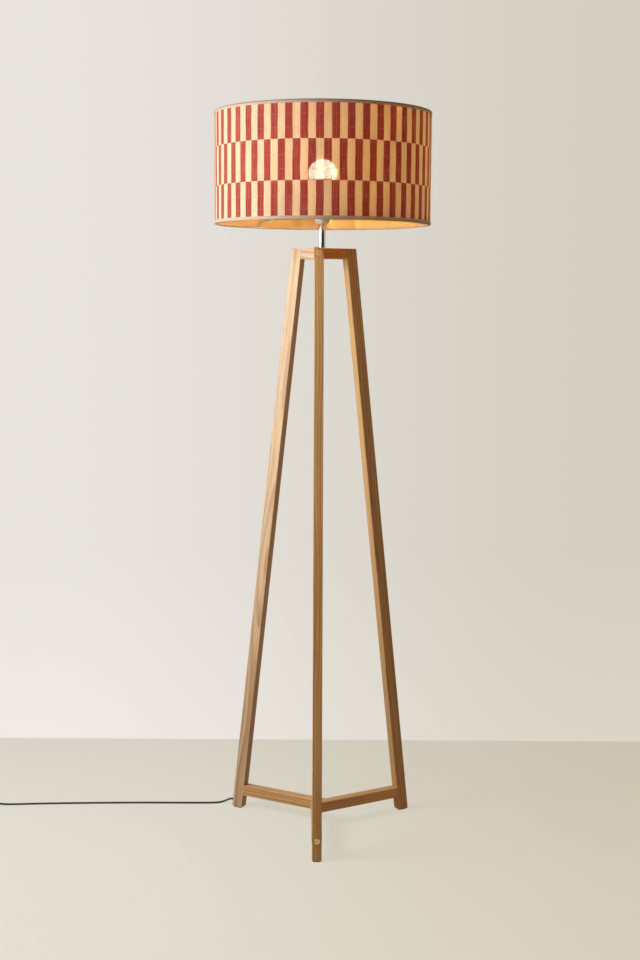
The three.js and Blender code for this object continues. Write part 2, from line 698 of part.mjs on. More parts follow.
function pinBoreAcross(radius, reach = 10) {
  const bore = new THREE.CylinderGeometry(radius, radius, 2 * reach, 12);
  return bore.translate(0, 0, ROCKER_PIVOT);
}

// The key: two pads that rise towards its ends, tipped to one side.
function rocker() {
  const profile = polygon([
    [-10.3, 5.3], [-10.3, 0.5], [-4, -3], [4, -3], [10.3, 0.5], [10.3, 5.3], [0, 4.2],
  ]);
  const width = 12.2;
  const key = extruded(profile, width).rotateX(Math.PI / 2).translate(0, width / 2, 0);
  const bore = new THREE.CylinderGeometry(1.3, 1.3, 30, 12);
  const tipped = cut(key, bore).rotateY(THREE.MathUtils.degToRad(ROCKER_TILT));
  return tipped.translate(0, 0, ROCKER_PIVOT);
}

function makeSwitch() {
  const frame = new THREE.Group();
  frame.position.set(SWITCH_CENTRE[0], SWITCH_CENTRE[1], 0);
  lamp.add(frame);
  const base = cut(switchShell(0, SWITCH_SPLIT), switchPocket(2, SWITCH_SPLIT + 2));
  add('switch_base', base, 'blackPlastic', frame);
  add('switch_cover', switchCover(), 'blackPlastic', frame);
  add('switch_rocker', rocker(), 'blackPlastic', frame);
  add('rocker_pin', pinBoreAcross(1, 8.4), 'zinc', frame);
}

// ---- two-pin plug ----

function plugBody() {
  const front = PLUG_FRONT;
  const outline = polygon([
    [front, -14], [front, 14], [front - 4, 17.2], [front - 16, 17.2], [front - 37, 7], [front - 40, 4.6],
    [front - 40, -4.6], [front - 37, -7], [front - 16, -17.2], [front - 4, -17.2],
  ]);
  const body = extruded(outline, PLUG_THICKNESS);
  const sleeveLength = 22;
  const sleeve = new THREE.CylinderGeometry(4.4, 2.9, sleeveLength, 12).rotateZ(-Math.PI / 2);
  sleeve.translate(front - 38 - sleeveLength / 2, 0, PLUG_THICKNESS / 2);
  const socket = (y) => cylinderX(2.3, front - 6, front + 4, y, PLUG_THICKNESS / 2, 12);
  const sockets = [socket(-PIN_SPACING / 2), socket(PIN_SPACING / 2)];
  return cut(join(body, sleeve), ...sockets);
}

function plugPin(side) {
  const pin = turned([[0, 0], [2, 0], [2, 23.4], [1.2, 24.6], [0, 24.6]], 12).rotateY(Math.PI / 2);
  return pin.translate(PLUG_FRONT - 5.6, side * PIN_SPACING / 2, PLUG_THICKNESS / 2);
}

function makePlug() {
  const frame = new THREE.Group();
  frame.position.y = PLUG_Y;
  lamp.add(frame);
  add('plug_body', plugBody(), 'blackPlastic', frame);
  add('plug_pin_near', plugPin(-1), 'zinc', frame);
  add('plug_pin_far', plugPin(1), 'zinc', frame);
}

makeTripod();
makeStem();
makeLampholder();
makeBulb();
makeShade();
makeCord();
makeSwitch();
makePlug();

export default lamp;
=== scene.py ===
"""Looks of the tripod floor lamp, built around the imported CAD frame. Metres, +Z up, floor at z = 0."""

import json
from math import asin, atan2, cos, hypot, pi, radians, sin, sqrt

import bmesh
import bpy
from mathutils import Matrix, Vector, noise


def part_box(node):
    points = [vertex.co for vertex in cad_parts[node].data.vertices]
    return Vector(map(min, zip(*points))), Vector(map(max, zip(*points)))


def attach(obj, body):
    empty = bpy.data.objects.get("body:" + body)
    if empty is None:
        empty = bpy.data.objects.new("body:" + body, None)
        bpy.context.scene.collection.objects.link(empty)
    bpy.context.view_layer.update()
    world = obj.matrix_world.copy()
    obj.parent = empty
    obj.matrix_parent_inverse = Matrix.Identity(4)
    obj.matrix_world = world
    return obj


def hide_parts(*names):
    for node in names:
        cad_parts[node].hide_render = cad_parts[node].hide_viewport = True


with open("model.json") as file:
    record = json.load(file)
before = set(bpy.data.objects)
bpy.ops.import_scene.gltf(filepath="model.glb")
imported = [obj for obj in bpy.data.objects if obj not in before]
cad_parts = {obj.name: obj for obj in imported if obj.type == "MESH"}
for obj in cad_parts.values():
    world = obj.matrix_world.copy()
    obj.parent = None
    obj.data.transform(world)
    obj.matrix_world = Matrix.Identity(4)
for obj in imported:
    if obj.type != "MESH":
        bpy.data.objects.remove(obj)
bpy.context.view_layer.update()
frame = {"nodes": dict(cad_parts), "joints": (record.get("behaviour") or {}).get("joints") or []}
NODES = frame["nodes"]
SCENE = bpy.context.scene
SIDES = ("front", "right", "left")
LEVELS = ("upper", "lower")
MM = 0.001
TURN = 2 * pi
UP = Vector((0, 0, 1))
CORNER_STEPS = 6  # points in each round corner, besides its first
WIRE_SIDES = 12


# ---- places read from the frame ----


def low(node):
    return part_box(node)[0]


def high(node):
    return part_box(node)[1]


def middle(node):
    return (low(node) + high(node)) / 2


def extent(node, direction):
    """How far a CAD node reaches along a direction, from and to."""
    along = [vertex.co.dot(direction) for vertex in NODES[node].data.vertices]
    return min(along), max(along)


def end_middle(node, z):
    """The middle of a CAD node's level end face."""
    face = [vertex.co for vertex in NODES[node].data.vertices if abs(vertex.co.z - z) < 0.1 * MM]
    lowest = Vector([min(point[k] for point in face) for k in range(3)])
    highest = Vector([max(point[k] for point in face) for k in range(3)])
    return (lowest + highest) / 2


def leg_line(side):
    """A leg's middle at its top and at its foot."""
    leg = f"{side}_leg"
    return end_middle(leg, high(leg).z), end_middle(leg, low(leg).z)


def outward(side):
    """The level direction from the lamp's axis to a leg."""
    top, foot = leg_line(side)
    return Vector((foot.x - top.x, foot.y - top.y, 0)).normalized()


def level_direction(azimuth):
    return Vector((cos(azimuth), sin(azimuth), 0))


def leftwards(direction):
    """A level direction turned a quarter to the left."""
    return Vector((-direction.y, direction.x, 0))


# ---- meshes ----


def add_object(name, data):
    thing = bpy.data.objects.new(name, data)
    SCENE.collection.objects.link(thing)
    return thing


def add_piece(name, mesh, material, body, node, sharp_angle=40):
    """A visible piece from a mesh, on its body, in place of the CAD node it shows."""
    for one in material if isinstance(material, list) else [material]:
        mesh.materials.append(one)
    mesh.polygons.foreach_set("use_smooth", [True] * len(mesh.polygons))
    mesh.set_sharp_from_angle(angle=radians(sharp_angle))
    piece = add_object(name, mesh)
    flatten = piece.modifiers.new("flat faces stay flat", "WEIGHTED_NORMAL")
    flatten.weight = 100
    flatten.keep_sharp = True
    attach(piece, body)
    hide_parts(node)
    return piece


def level_ring(reach_at, z, steps=48):
    """A level ring about the z axis, as far out at each angle as reach_at says."""
    ring = []
    for i in range(steps):
        angle = TURN * i / steps
        reach = reach_at(angle)
        ring.append((reach * cos(angle), reach * sin(angle), z))
    return ring


def circle(radius, z, steps=48):
    return level_ring(lambda angle: radius, z, steps)


def lathe(profile, steps=48):
    return [circle(radius, z, steps) for radius, z in profile]


def raised(profile, z, factor=1.0):
    """A profile given in millimetres, in metres and from a height on."""
    return [(radius * MM, z + height * factor * MM) for radius, height in profile]


def rounded_rectangle(width, depth, corner, z):
    """A ring of points around a rectangle with round corners, the same number for every size."""
    ring = []
    for k, (sx, sy) in enumerate(((1, 1), (-1, 1), (-1, -1), (1, -1))):
        for i in range(CORNER_STEPS + 1):
            angle = (k + i / CORNER_STEPS) * pi / 2
            x = sx * (width / 2 - corner) + corner * cos(angle)
            y = sy * (depth / 2 - corner) + corner * sin(angle)
            ring.append((x, y, z))
    return ring


def slab(width, depth, corner, levels):
    """Rings of a rounded slab; levels are (z, inset) pairs."""
    return [
        rounded_rectangle(width - 2 * inset, depth - 2 * inset, max(corner - inset, 0.4 * MM), z)
        for z, inset in levels
    ]


def fillet(z, radius, towards, steps=4):
    """Levels around an outer edge: from the side at z inwards to the top (1) or bottom (-1) face."""
    levels = []
    for i in range(steps + 1):
        angle = i / steps * pi / 2
        levels.append((z + towards * radius * sin(angle), radius * (1 - cos(angle))))
    return levels


def ribbed_sleeve(length, wide, narrow, rib, steps, first_rib):
    """A lathe profile that narrows along its length, with grooves around it, ending at z = 0."""
    profile = []
    for i in range(steps + 1):
        share = i / steps
        grooved = i % 4 in (1, 2) and first_rib <= i < steps - 2
        profile.append((wide + (narrow - wide) * share - (rib if grooved else 0), length * (share - 1)))
    return profile


def mesh_from(rings, ends="capped", matrix=None):
    """A mesh through rings of equally many points. ends is capped or looped."""
    count = len(rings[0])
    points = [matrix @ Vector(p) if matrix else Vector(p) for ring in rings for p in ring]
    spans = len(rings) if ends == "looped" else len(rings) - 1
    faces = []
    for i in range(spans):
        here, there = i * count, (i + 1) % len(rings) * count
        for j in range(count):
            k = (j + 1) % count
            faces.append((here + j, here + k, there + k, there + j))
    if ends == "capped":
        faces.append(tuple(range(count))[::-1])
        faces.append(tuple(range(len(points) - count, len(points))))
    mesh = bpy.data.meshes.new("mesh")
    mesh.from_pydata(points, [], faces)
    face_outwards(mesh)
    return mesh


def face_outwards(mesh):
    edit = bmesh.new()
    edit.from_mesh(mesh)
    bmesh.ops.recalc_face_normals(edit, faces=edit.faces)
    edit.to_mesh(mesh)
    edit.free()


def joined(*meshes):
    edit = bmesh.new()
    for mesh in meshes:
        edit.from_mesh(mesh)
        bpy.data.meshes.remove(mesh)
    result = bpy.data.meshes.new("mesh")
    edit.to_mesh(result)
    edit.free()
    return result


def tube(points, radius, closed=False):
    """A round wire along points, with level frames that don't twist."""
    angles = [TURN * k / WIRE_SIDES for k in range(WIRE_SIDES)]
    rings = []
    for i, point in enumerate(points):
        before = points[i - 1] if closed or i else point
        after = points[(i + 1) % len(points)] if closed or i + 1 < len(points) else point
        along = (Vector(after) - Vector(before)).normalized()
        across = along.cross(UP).normalized()
        upwards = across.cross(along)
        rings.append([
            Vector(point) + radius * (cos(angle) * across + sin(angle) * upwards)
            for angle in angles
        ])
    return mesh_from(rings, "looped" if closed else "capped")


def facing(origin, direction):
    """A matrix whose +Z runs along a level direction from an origin, and whose +X is up."""
    z_axis = direction.normalized()
    y_axis = z_axis.cross(UP).normalized()
    x_axis = y_axis.cross(z_axis)
    turn = Matrix((x_axis, y_axis, z_axis)).transposed().to_4x4()
    return Matrix.Translation(origin) @ turn


def smooth_line(points, step):
    """Points about a step apart on a centripetal Catmull-Rom curve through the given ones."""
    given = [Vector(p) for p in points]
    padded = [2 * given[0] - given[1], *given, 2 * given[-1] - given[-2]]
    line = [given[0]]
    for a, b, c, d in zip(padded, padded[1:], padded[2:], padded[3:]):
        t0 = 0.0
        t1 = t0 + sqrt((b - a).length)
        t2 = t1 + sqrt((c - b).length)
        t3 = t2 + sqrt((d - c).length)
        count = max(1, round((c - b).length / step))
        for k in range(1, count + 1):
            t = t1 + (t2 - t1) * k / count
            ab = a.lerp(b, (t - t0) / (t1 - t0))
            bc = b.lerp(c, (t - t1) / (t2 - t1))
            cd = c.lerp(d, (t - t2) / (t3 - t2))
            abc = ab.lerp(bc, (t - t0) / (t2 - t0))
            bcd = bc.lerp(cd, (t - t1) / (t3 - t1))
            line.append(abc.lerp(bcd, (t - t1) / (t2 - t1)))
    return line


# ---- shader helper ----


class Shader:
    """One material's nodes. Each method adds a node and returns its output socket."""

    def __init__(self, name, **sockets):
        self.material = bpy.data.materials.new(name)
        self.material.use_nodes = True
        self.tree = self.material.node_tree
        self.base = self.tree.nodes["Principled BSDF"]
        self.output = self.tree.nodes["Material Output"]
        self.surface(**sockets)

    def surface(self, **sockets):
        self.set(self.base, **sockets)

    def set(self, node, **sockets):
        for name, value in sockets.items():
            self.feed(node.inputs[name.replace("_", " ")], value)

    def feed(self, socket, value):
        if isinstance(value, bpy.types.NodeSocket):
            self.tree.links.new(value, socket)
        elif socket.type == "RGBA" and len(value) == 3:
            socket.default_value = (*value, 1)
        else:
            socket.default_value = value

    def node(self, kind, **settings):
        node = self.tree.nodes.new("ShaderNode" + kind)
        for name, value in settings.items():
            setattr(node, name, value)
        return node

    def place(self):
        return self.node("TexCoord").outputs["Object"]

    def split(self, vector):
        node = self.node("SeparateXYZ")
        self.feed(node.inputs[0], vector)
        return node.outputs

    def join(self, x, y, z):
        node = self.node("CombineXYZ")
        for socket, value in zip(node.inputs, (x, y, z)):
            self.feed(socket, value)
        return node.outputs[0]

    def math(self, operation, *values):
        node = self.node("Math", operation=operation)
        for socket, value in zip(node.inputs, values):
            self.feed(socket, value)
        return node.outputs[0]

    def add(self, first, second):
        return self.math("ADD", first, second)

    def minus(self, first, second):
        return self.math("SUBTRACT", first, second)

    def times(self, first, second):
        return self.math("MULTIPLY", first, second)

    def along(self, vector, direction, start):
        """How far a place is along a direction, from a start."""
        node = self.node("VectorMath", operation="DOT_PRODUCT")
        self.feed(node.inputs[0], vector)
        self.feed(node.inputs[1], tuple(direction))
        return self.minus(node.outputs["Value"], start)

    def stretched(self, vector, factors):
        node = self.node("VectorMath", operation="MULTIPLY")
        self.feed(node.inputs[0], vector)
        self.feed(node.inputs[1], factors)
        return node.outputs[0]

    def noise(self, vector, scale, detail=2.0, roughness=0.5, distortion=0.0):
        """Soft noise: scale is one number, or three factors that stretch it."""
        if isinstance(scale, tuple):
            vector, scale = self.stretched(vector, scale), 1.0
        node = self.node("TexNoise")
        self.set(node, Vector=vector, Scale=scale, Detail=detail)
        self.set(node, Roughness=roughness, Distortion=distortion)
        return node.outputs["Fac"]

    def cells(self, vector, scale):
        node = self.node("TexVoronoi", feature="F1")
        self.set(node, Vector=vector, Scale=scale)
        return node.outputs["Distance"]

    def white(self, value):
        node = self.node("TexWhiteNoise", noise_dimensions="1D")
        self.feed(node.inputs["W"], value)
        return node.outputs["Value"]

    def between(self, value, from_low, from_high, to_low=0.0, to_high=1.0, smooth=False):
        node = self.node("MapRange", interpolation_type="SMOOTHSTEP" if smooth else "LINEAR")
        for index, number in enumerate((value, from_low, from_high, to_low, to_high)):
            self.feed(node.inputs[index], number)
        return node.outputs[0]

    def mix(self, factor, first, second, blend="MIX"):
        node = self.node("Mix", data_type="RGBA", blend_type=blend)
        self.feed(node.inputs[0], factor)
        self.feed(node.inputs[6], first)
        self.feed(node.inputs[7], second)
        return node.outputs[2]

    def bump(self, height, distance):
        node = self.node("Bump")
        self.set(node, Height=height, Distance=distance, Strength=1.0)
        return node.outputs["Normal"]

    def shader(self, kind, **sockets):
        node = self.node(kind)
        self.set(node, **sockets)
        return node.outputs[0]

    def blend(self, factor, first, second):
        node = self.node("MixShader")
        self.feed(node.inputs[0], factor)
        self.feed(node.inputs[1], first)
        self.feed(node.inputs[2], second)
        return node.outputs[0]

    def show(self, shader):
        self.feed(self.output.inputs["Surface"], shader)


# ---- materials ----


WORN_EDGE = 1.6 * MM


def toned(colour, factor):
    return [min(1.0, factor * part) for part in colour]


def wood(name, across, depth, along, half_sizes, tone, seed):
    """Oak with straight grain. across, depth and along are (direction, start) pairs of the bar's axes."""
    s = Shader(name)
    place = s.place()
    x = s.along(place, *across)
    y = s.along(place, *depth)
    z = s.along(place, *along)
    offset = 7.3 * seed
    local = s.join(s.add(x, offset), y, z)
    drift = s.noise(local, (9, 9, 2.2), detail=1.5)
    ring_x = s.add(x, 0.021 + 0.006 * (seed % 3))
    ring_y = s.add(y, 0.034 - 0.009 * (seed % 4))
    radius = s.math("SQRT", s.add(s.math("POWER", ring_x, 2.0), s.math("POWER", ring_y, 2.0)))
    wandering = s.add(radius, s.times(drift, 0.03))
    years_per_metre = 200.0 + 35.0 * (seed % 3)
    year = s.math("FRACT", s.times(wandering, years_per_metre))
    late = s.between(year, 0.35, 0.95, smooth=True)
    early_edge = s.between(year, 0.0, 0.1, 1.0, 0.0)
    strength = s.between(s.noise(local, (40, 40, 0.8), detail=1.0), 0.35, 0.65, 0.35, 1.0)
    rings = s.times(s.math("MAXIMUM", s.times(late, 0.9), early_edge), strength)
    fibre = s.noise(local, (900, 900, 14), detail=3.0, roughness=0.6)
    streak = s.noise(local, (150, 150, 3))
    pore_field = s.noise(local, (2200, 2200, 95), detail=1.0)
    pores = s.between(pore_field, 0.62, 0.72)
    light, dark = tone
    colour = s.mix(s.times(rings, 0.9), light, dark)
    colour = s.mix(s.between(streak, 0.4, 0.7, 0.0, 0.5), colour, dark)
    colour = s.mix(s.between(fibre, 0.25, 0.75, 0.0, 0.3), colour, toned(dark, 0.72))
    colour = s.mix(s.times(pores, 0.5), colour, toned(dark, 0.45))
    near_x, near_y = [
        s.between(s.math("ABSOLUTE", axis), half - WORN_EDGE, half) for axis, half in zip((x, y), half_sizes)
    ]
    edge = s.times(s.times(near_x, near_y), s.between(streak, 0.3, 0.6))
    colour = s.mix(s.times(edge, 0.5), colour, toned(light, 1.25))
    sunk = s.add(pores, s.times(rings, 0.2))
    height = s.minus(s.times(fibre, 0.35), sunk)
    s.surface(Base_Color=colour, Roughness=s.between(fibre, 0.2, 0.8, 0.42, 0.62))
    s.surface(Normal=s.bump(height, 0.12 * MM), Specular_IOR_Level=0.35)
    return s.material


def metal(name, colour, roughness, scratch=(1, 1, 1), wear=0.15, fine=1400):
    """Bare metal with fine brushing along the stretched axes and cloudy smudges."""
    s = Shader(name, Base_Color=colour, Metallic=1.0)
    place = s.place()
    brushed = s.noise(place, tuple(fine * k for k in scratch))
    smudge = s.noise(place, 60.0)
    rough = s.between(s.add(brushed, smudge), 0.7, 1.3, roughness, roughness + wear)
    tarnish = s.between(smudge, 0.45, 0.75, 0.0, 0.35)
    s.surface(Base_Color=s.mix(tarnish, colour, toned(colour, 0.72)), Roughness=rough)
    s.surface(Normal=s.bump(brushed, 0.015 * MM))
    return s.material


def plastic(name, colour, roughness):
    """Moulded plastic: fine spark-eroded grain, slight colour drift and a little dust."""
    s = Shader(name, Specular_IOR_Level=0.45)
    place = s.place()
    grains = s.noise(place, 2600.0, detail=1.0)
    cloud = s.noise(place, 45.0, detail=3.0)
    speck = s.between(s.cells(place, 380.0), 0.0, 0.16, 1.0, 0.0)
    tint = s.mix(s.between(cloud, 0.3, 0.7, 0.0, 0.25), colour, toned(colour, 0.82))
    dusty = [min(1.0, part + 0.08) for part in colour]
    s.surface(Base_Color=s.mix(s.times(speck, 0.25), tint, dusty))
    s.surface(Roughness=s.between(cloud, 0.3, 0.7, roughness, roughness + 0.12))
    s.surface(Normal=s.bump(grains, 0.02 * MM))
    return s.material


def felt():
    dark = (0.085, 0.062, 0.045)
    s = Shader("felt", Roughness=0.95, Sheen_Weight=0.5, Sheen_Roughness=0.5)
    hairs = s.noise(s.place(), 1500.0, detail=3.0, distortion=2.0)
    s.surface(Base_Color=s.mix(s.between(hairs, 0.3, 0.7), dark, toned(dark, 2.4)))
    s.surface(Normal=s.bump(hairs, 0.3 * MM))
    return s.material


def woven_strap():
    dark = (0.022, 0.02, 0.019)
    s = Shader("woven_strap", Roughness=0.85, Sheen_Weight=0.3)
    threads = s.cells(s.place(), 1500.0)
    s.surface(Base_Color=s.mix(s.between(threads, 0.1, 0.6), toned(dark, 3.0), dark))
    s.surface(Normal=s.bump(threads, 0.15 * MM))
    return s.material


def cord_sheath():
    """Dark brown flexible PVC with faint drawing lines and a dull bloom."""
    colour = (0.040, 0.017, 0.006)
    s = Shader("cord_sheath", Specular_IOR_Level=0.55)
    place = s.place()
    bloom = s.noise(place, 38.0, detail=4.0)
    fine = s.noise(place, 900.0)
    bloomed = (0.085, 0.042, 0.018)
    s.surface(Base_Color=s.mix(s.between(bloom, 0.35, 0.7, 0.0, 0.6), colour, bloomed))
    s.surface(Roughness=s.between(bloom, 0.3, 0.7, 0.34, 0.5))
    s.surface(Normal=s.bump(fine, 0.03 * MM))
    return s.material


def ceramic():
    s = Shader("ceramic", Roughness=0.35)
    specks = s.cells(s.place(), 900.0)
    s.surface(Base_Color=s.mix(s.between(specks, 0.0, 0.2), (0.5, 0.45, 0.38), (0.8, 0.77, 0.7)))
    return s.material


def coated_wire():
    s = Shader("coated_wire", Specular_IOR_Level=0.5)
    place = s.place()
    runs = s.noise(place, 320.0, detail=3.0)
    worn = s.between(s.noise(place, 70.0), 0.62, 0.7, 0.0, 0.4)
    s.surface(Base_Color=s.mix(worn, (0.78, 0.74, 0.66), (0.55, 0.51, 0.45)))
    s.surface(Roughness=s.between(runs, 0.3, 0.7, 0.3, 0.45), Normal=s.bump(runs, 0.08 * MM))
    return s.material


BULB_LIGHT = (1.0, 0.74, 0.42)
BULB_STRENGTH = 165.0


def lit_dome():
    """Opal plastic over the LEDs: brighter in the middle, a little darker towards its rim."""
    s = Shader("lit_dome", Base_Color=(0.9, 0.88, 0.82), Roughness=0.4, Emission_Color=BULB_LIGHT)
    height = s.split(s.place())[2]
    base = low("bulb_dome").z
    rim = s.between(height, base, base + 6 * MM, 0.75, 1.0)
    s.surface(Emission_Strength=s.times(rim, BULB_STRENGTH))
    return s.material


# ---- shade fabric ----

CHECK_PAIRS = 46  # red and natural panels in turn, around the drum
CHECK_START = radians(-91.45)  # azimuth of the middle of one red panel in the top row
ROW_SHARES = (0.0, 0.0287, 0.3230, 0.6691, 0.9693, 1.0)  # tape, three rows and tape, from the top down
NATURAL = ((0.86, 0.76, 0.56), (0.70, 0.58, 0.38))  # light and dark straws
RED = ((0.67, 0.100, 0.060), (0.37, 0.020, 0.011))
STRAND = 1.35 * MM  # width of one straw
THREAD_PITCH = 26 * MM  # between binding threads
LET_THROUGH = 0.40  # the share of light that the straw lets through, scattered
GAP_OPENNESS = 0.045  # how clear the finest gaps are


def fabric_place(s):
    """The cloth's own coordinates in metres: distance around the drum, height, and both as a vector."""
    x, y, z = s.split(s.place())
    around = s.times(s.math("ARCTAN2", y, x), high("shade_skin").x)
    return around, z, s.join(around, 0.0, z)


def check_pattern(s, around, z, flat):
    """1 on a red panel and 0 on a natural one, with the ragged edges that woven straw gives."""
    radius = high("shade_skin").x
    top = high("shade_top_tape").z
    drop = top - low("shade_bottom_tape").z
    sway = s.noise(flat, (28, 1, 22))
    ragged = s.noise(flat, (420, 1, 900), detail=1.0)
    shift = s.add(s.times(sway, 2.6 * MM), s.times(ragged, 1.0 * MM))
    moved = s.minus(s.add(around, shift), radius * CHECK_START + 1.8 * MM)
    pitch = TURN * radius / CHECK_PAIRS
    pairs = s.add(s.math("DIVIDE", moved, pitch), 0.25)
    uneven = s.times(s.noise(flat, (160, 1, 14), detail=1.0), 1.6 * MM)
    level = s.math("DIVIDE", s.minus(top, s.add(z, uneven)), drop)
    below, above = s.math("GREATER_THAN", level, ROW_SHARES[2]), s.math("LESS_THAN", level, ROW_SHARES[3])
    in_middle = s.times(below, above)
    phase = s.math("FRACT", s.add(pairs, s.times(in_middle, 0.5)))
    return s.math("LESS_THAN", phase, 0.5)


def strands(s, around, z, flat):
    """Tone and relief of the straws and of the threads that bind them."""
    count = s.math("DIVIDE", around, STRAND)
    tone = s.white(s.math("FLOOR", count))
    round_top = s.math("SINE", s.times(s.math("FRACT", count), pi))
    fibre = s.noise(flat, (2400, 1, 26), detail=3.0, roughness=0.6)
    thread = s.math("FRACT", s.math("DIVIDE", z, THREAD_PITCH))
    threads = s.between(s.math("ABSOLUTE", s.minus(thread, 0.5)), 0.008, 0.028, 1.0, 0.0)
    return tone, round_top, fibre, threads


def straw_fabric():
    """The outer face: checked straw that scatters light, lets it through and has fine gaps."""
    s = Shader("straw_fabric", Roughness=0.75, Specular_IOR_Level=0.25)
    around, z, flat = fabric_place(s)
    red = check_pattern(s, around, z, flat)
    tone, round_top, fibre, threads = strands(s, around, z, flat)
    blotch = s.noise(flat, (60, 1, 12), detail=3.0)
    shade = s.add(s.times(tone, 0.45), s.times(fibre, 0.55))
    natural = s.mix(s.between(shade, 0.25, 0.75), *NATURAL)
    dyed = s.mix(s.between(shade, 0.25, 0.75), *RED)
    wide_fibre = s.noise(flat, (420, 1, 24))
    worn = s.between(s.noise(flat, (9, 1, 16), detail=1.0), 0.42, 0.62, 0.3, 1.0)
    pale_streak = s.times(s.between(wide_fibre, 0.5, 0.66, 0.0, 0.7), worn)
    dyed = s.mix(pale_streak, dyed, (0.68, 0.26, 0.16))
    colour = s.mix(red, natural, dyed)
    colour = s.mix(s.between(blotch, 0.4, 0.75, 0.0, 0.3), colour, (0.45, 0.315, 0.21), "MULTIPLY")
    colour = s.mix(s.times(threads, 0.35), colour, (0.55, 0.40, 0.26))
    height = s.add(s.times(round_top, 0.5), s.times(fibre, 0.35))
    height = s.add(height, s.times(threads, 0.6))
    normal = s.bump(height, 0.35 * MM)
    s.surface(Base_Color=colour, Normal=normal, Sheen_Weight=0.3, Sheen_Roughness=0.4)
    through = s.mix(red, (0.95, 0.58, 0.26), (0.16, 0.004, 0.001))
    translucent = s.shader("BsdfTranslucent", Color=through, Normal=normal)
    cloth = s.blend(LET_THROUGH, s.base.outputs[0], translucent)
    crossing = s.noise(flat, (480, 1, 260))
    between_fibres = s.between(wide_fibre, 0.4, 0.65, 1.0, 0.3)
    gaps = s.times(between_fibres, s.between(crossing, 0.43, 0.48, 0.03, 1.0))
    openness = s.times(s.times(gaps, GAP_OPENNESS), s.minus(1.0, threads))
    clear = s.shader("BsdfTransparent", Color=(0.52, 0.76, 1.0))
    s.show(s.blend(openness, cloth, clear))
    return s.material


def shade_lining():
    """The inner face: the fabric's pale backing, with the checks faint behind it."""
    s = Shader("shade_lining", Roughness=0.7, Specular_IOR_Level=0.3)
    around, z, flat = fabric_place(s)
    red = check_pattern(s, around, z, flat)
    _, round_top, fibre, threads = strands(s, around, z, flat)
    pale = s.mix(s.between(fibre, 0.3, 0.7), (0.84, 0.62, 0.18), (0.74, 0.50, 0.11))
    colour = s.mix(s.times(red, 0.12), pale, (0.72, 0.46, 0.18))
    normal = s.bump(s.add(round_top, threads), 0.12 * MM)
    s.surface(Base_Color=colour, Normal=normal)
    translucent = s.shader("BsdfTranslucent", Color=(0.95, 0.86, 0.68), Normal=normal)
    cloth = s.blend(0.3, s.base.outputs[0], translucent)
    clear = s.shader("BsdfTransparent", Color=(1.0, 0.98, 0.95))
    s.show(s.blend(s.between(round_top, 0.0, 0.5, 0.5, 0.3), cloth, clear))
    return s.material


def shade_tape_cloth():
    """Cotton edge tape: fine ribs across it, and painted shade where it folds around the rims."""
    s = Shader("shade_tape_cloth", Roughness=0.85, Sheen_Weight=0.25)
    around, z, flat = fabric_place(s)
    rib = s.math("SINE", s.times(around, TURN / (1.1 * MM)))
    slub = s.noise(flat, (300, 1, 2500))
    tone = s.add(s.times(rib, 0.2), slub)
    colour = s.mix(s.between(tone, 0.2, 0.9), (0.39, 0.245, 0.15), (0.64, 0.46, 0.325))
    # Painted shade: the tape is darkened near the bottom edge and near the top edge, where it folds around
    # the rims.
    height = s.minus(z, low("shade_bottom_tape").z)
    under = s.between(height, 0.6 * MM, 1.6 * MM, 0.75, 0.0)
    drop = s.minus(high("shade_top_tape").z, z)
    over = s.between(drop, 2.0 * MM, 3.4 * MM, 0.75, 0.0)
    colour = s.mix(s.add(under, over), colour, (0.24, 0.145, 0.075))
    s.surface(Base_Color=colour, Normal=s.bump(tone, 0.18 * MM))
    return s.material


# ---- the camera, and the lead ----


LENS = 55.07  # millimetres
CAMERA_PLACE = (-0.002, -3.102, 1.139)
CAMERA_DIP = 6.99  # degrees below level
CAMERA_ROLL = 0.33  # degrees


def make_camera():
    data = bpy.data.cameras.new("camera")
    data.lens = LENS
    camera = add_object("camera", data)
    camera.location = CAMERA_PLACE
    pitch = Matrix.Rotation(radians(90 - CAMERA_DIP), 3, "X")
    roll = Matrix.Rotation(radians(CAMERA_ROLL), 3, "Z")
    camera.rotation_euler = (pitch @ roll).to_euler()
    SCENE.camera = camera


CORD_DIAMETER = 4.5 * MM
CORD_FLOOR = 2.3 * MM  # height of the lead's middle where it lies on the floor
CORD_STEP = 3.5 * MM
SWITCH_Y = 0.1005
SWITCH_CORD_Z = 0.008

FLOOR_RUN = [
    (-0.245, 0.1255), (-0.26, 0.1248), (-0.28, 0.1243), (-0.31, 0.124), (-0.35, 0.1238), (-0.4, 0.1232),
    (-0.45, 0.1218), (-0.5, 0.12), (-0.55, 0.1176), (-0.6, 0.1148), (-0.645, 0.1116), (-0.685, 0.1078),
]
THROUGH_SWITCH = [
    (-0.7477, SWITCH_CORD_Z), (-0.8123, SWITCH_CORD_Z), (-0.82, 0.0072), (-0.829, 0.0053), (-0.839, 0.0037),
    (-0.8492, 0.0033),
]
TO_COIL = [
    (-0.1962, 0.1257, 0.0119), (-0.2015, 0.1285, 0.0111), (-0.208, 0.13, 0.0082),
    (-0.215, 0.1294, 0.0054), (-0.223, 0.1276, 0.0034), (-0.233, 0.1264, 0.0025),
    *((x, y, CORD_FLOOR) for x, y in FLOOR_RUN),
    (-0.708, 0.1046, 0.0032), (-0.727, 0.1018, 0.0059),
    *((x, SWITCH_Y, z) for x, z in THROUGH_SWITCH),
]
PLUG_Y = 0.0415
PLUG_RUN = [
    (-0.8492, 0.0119), (-0.845, 0.0113), (-0.839, 0.0098), (-0.832, 0.0082), (-0.824, 0.0071),
    (-0.8173, 0.00675), (-0.81, 0.00675),
]
FROM_COIL = [(x, PLUG_Y, z) for x, z in PLUG_RUN]
LAYERS = (3.25 * MM, 7.75 * MM, 12.25 * MM)
RADII = (29.5 * MM, 25 * MM, 20.5 * MM)
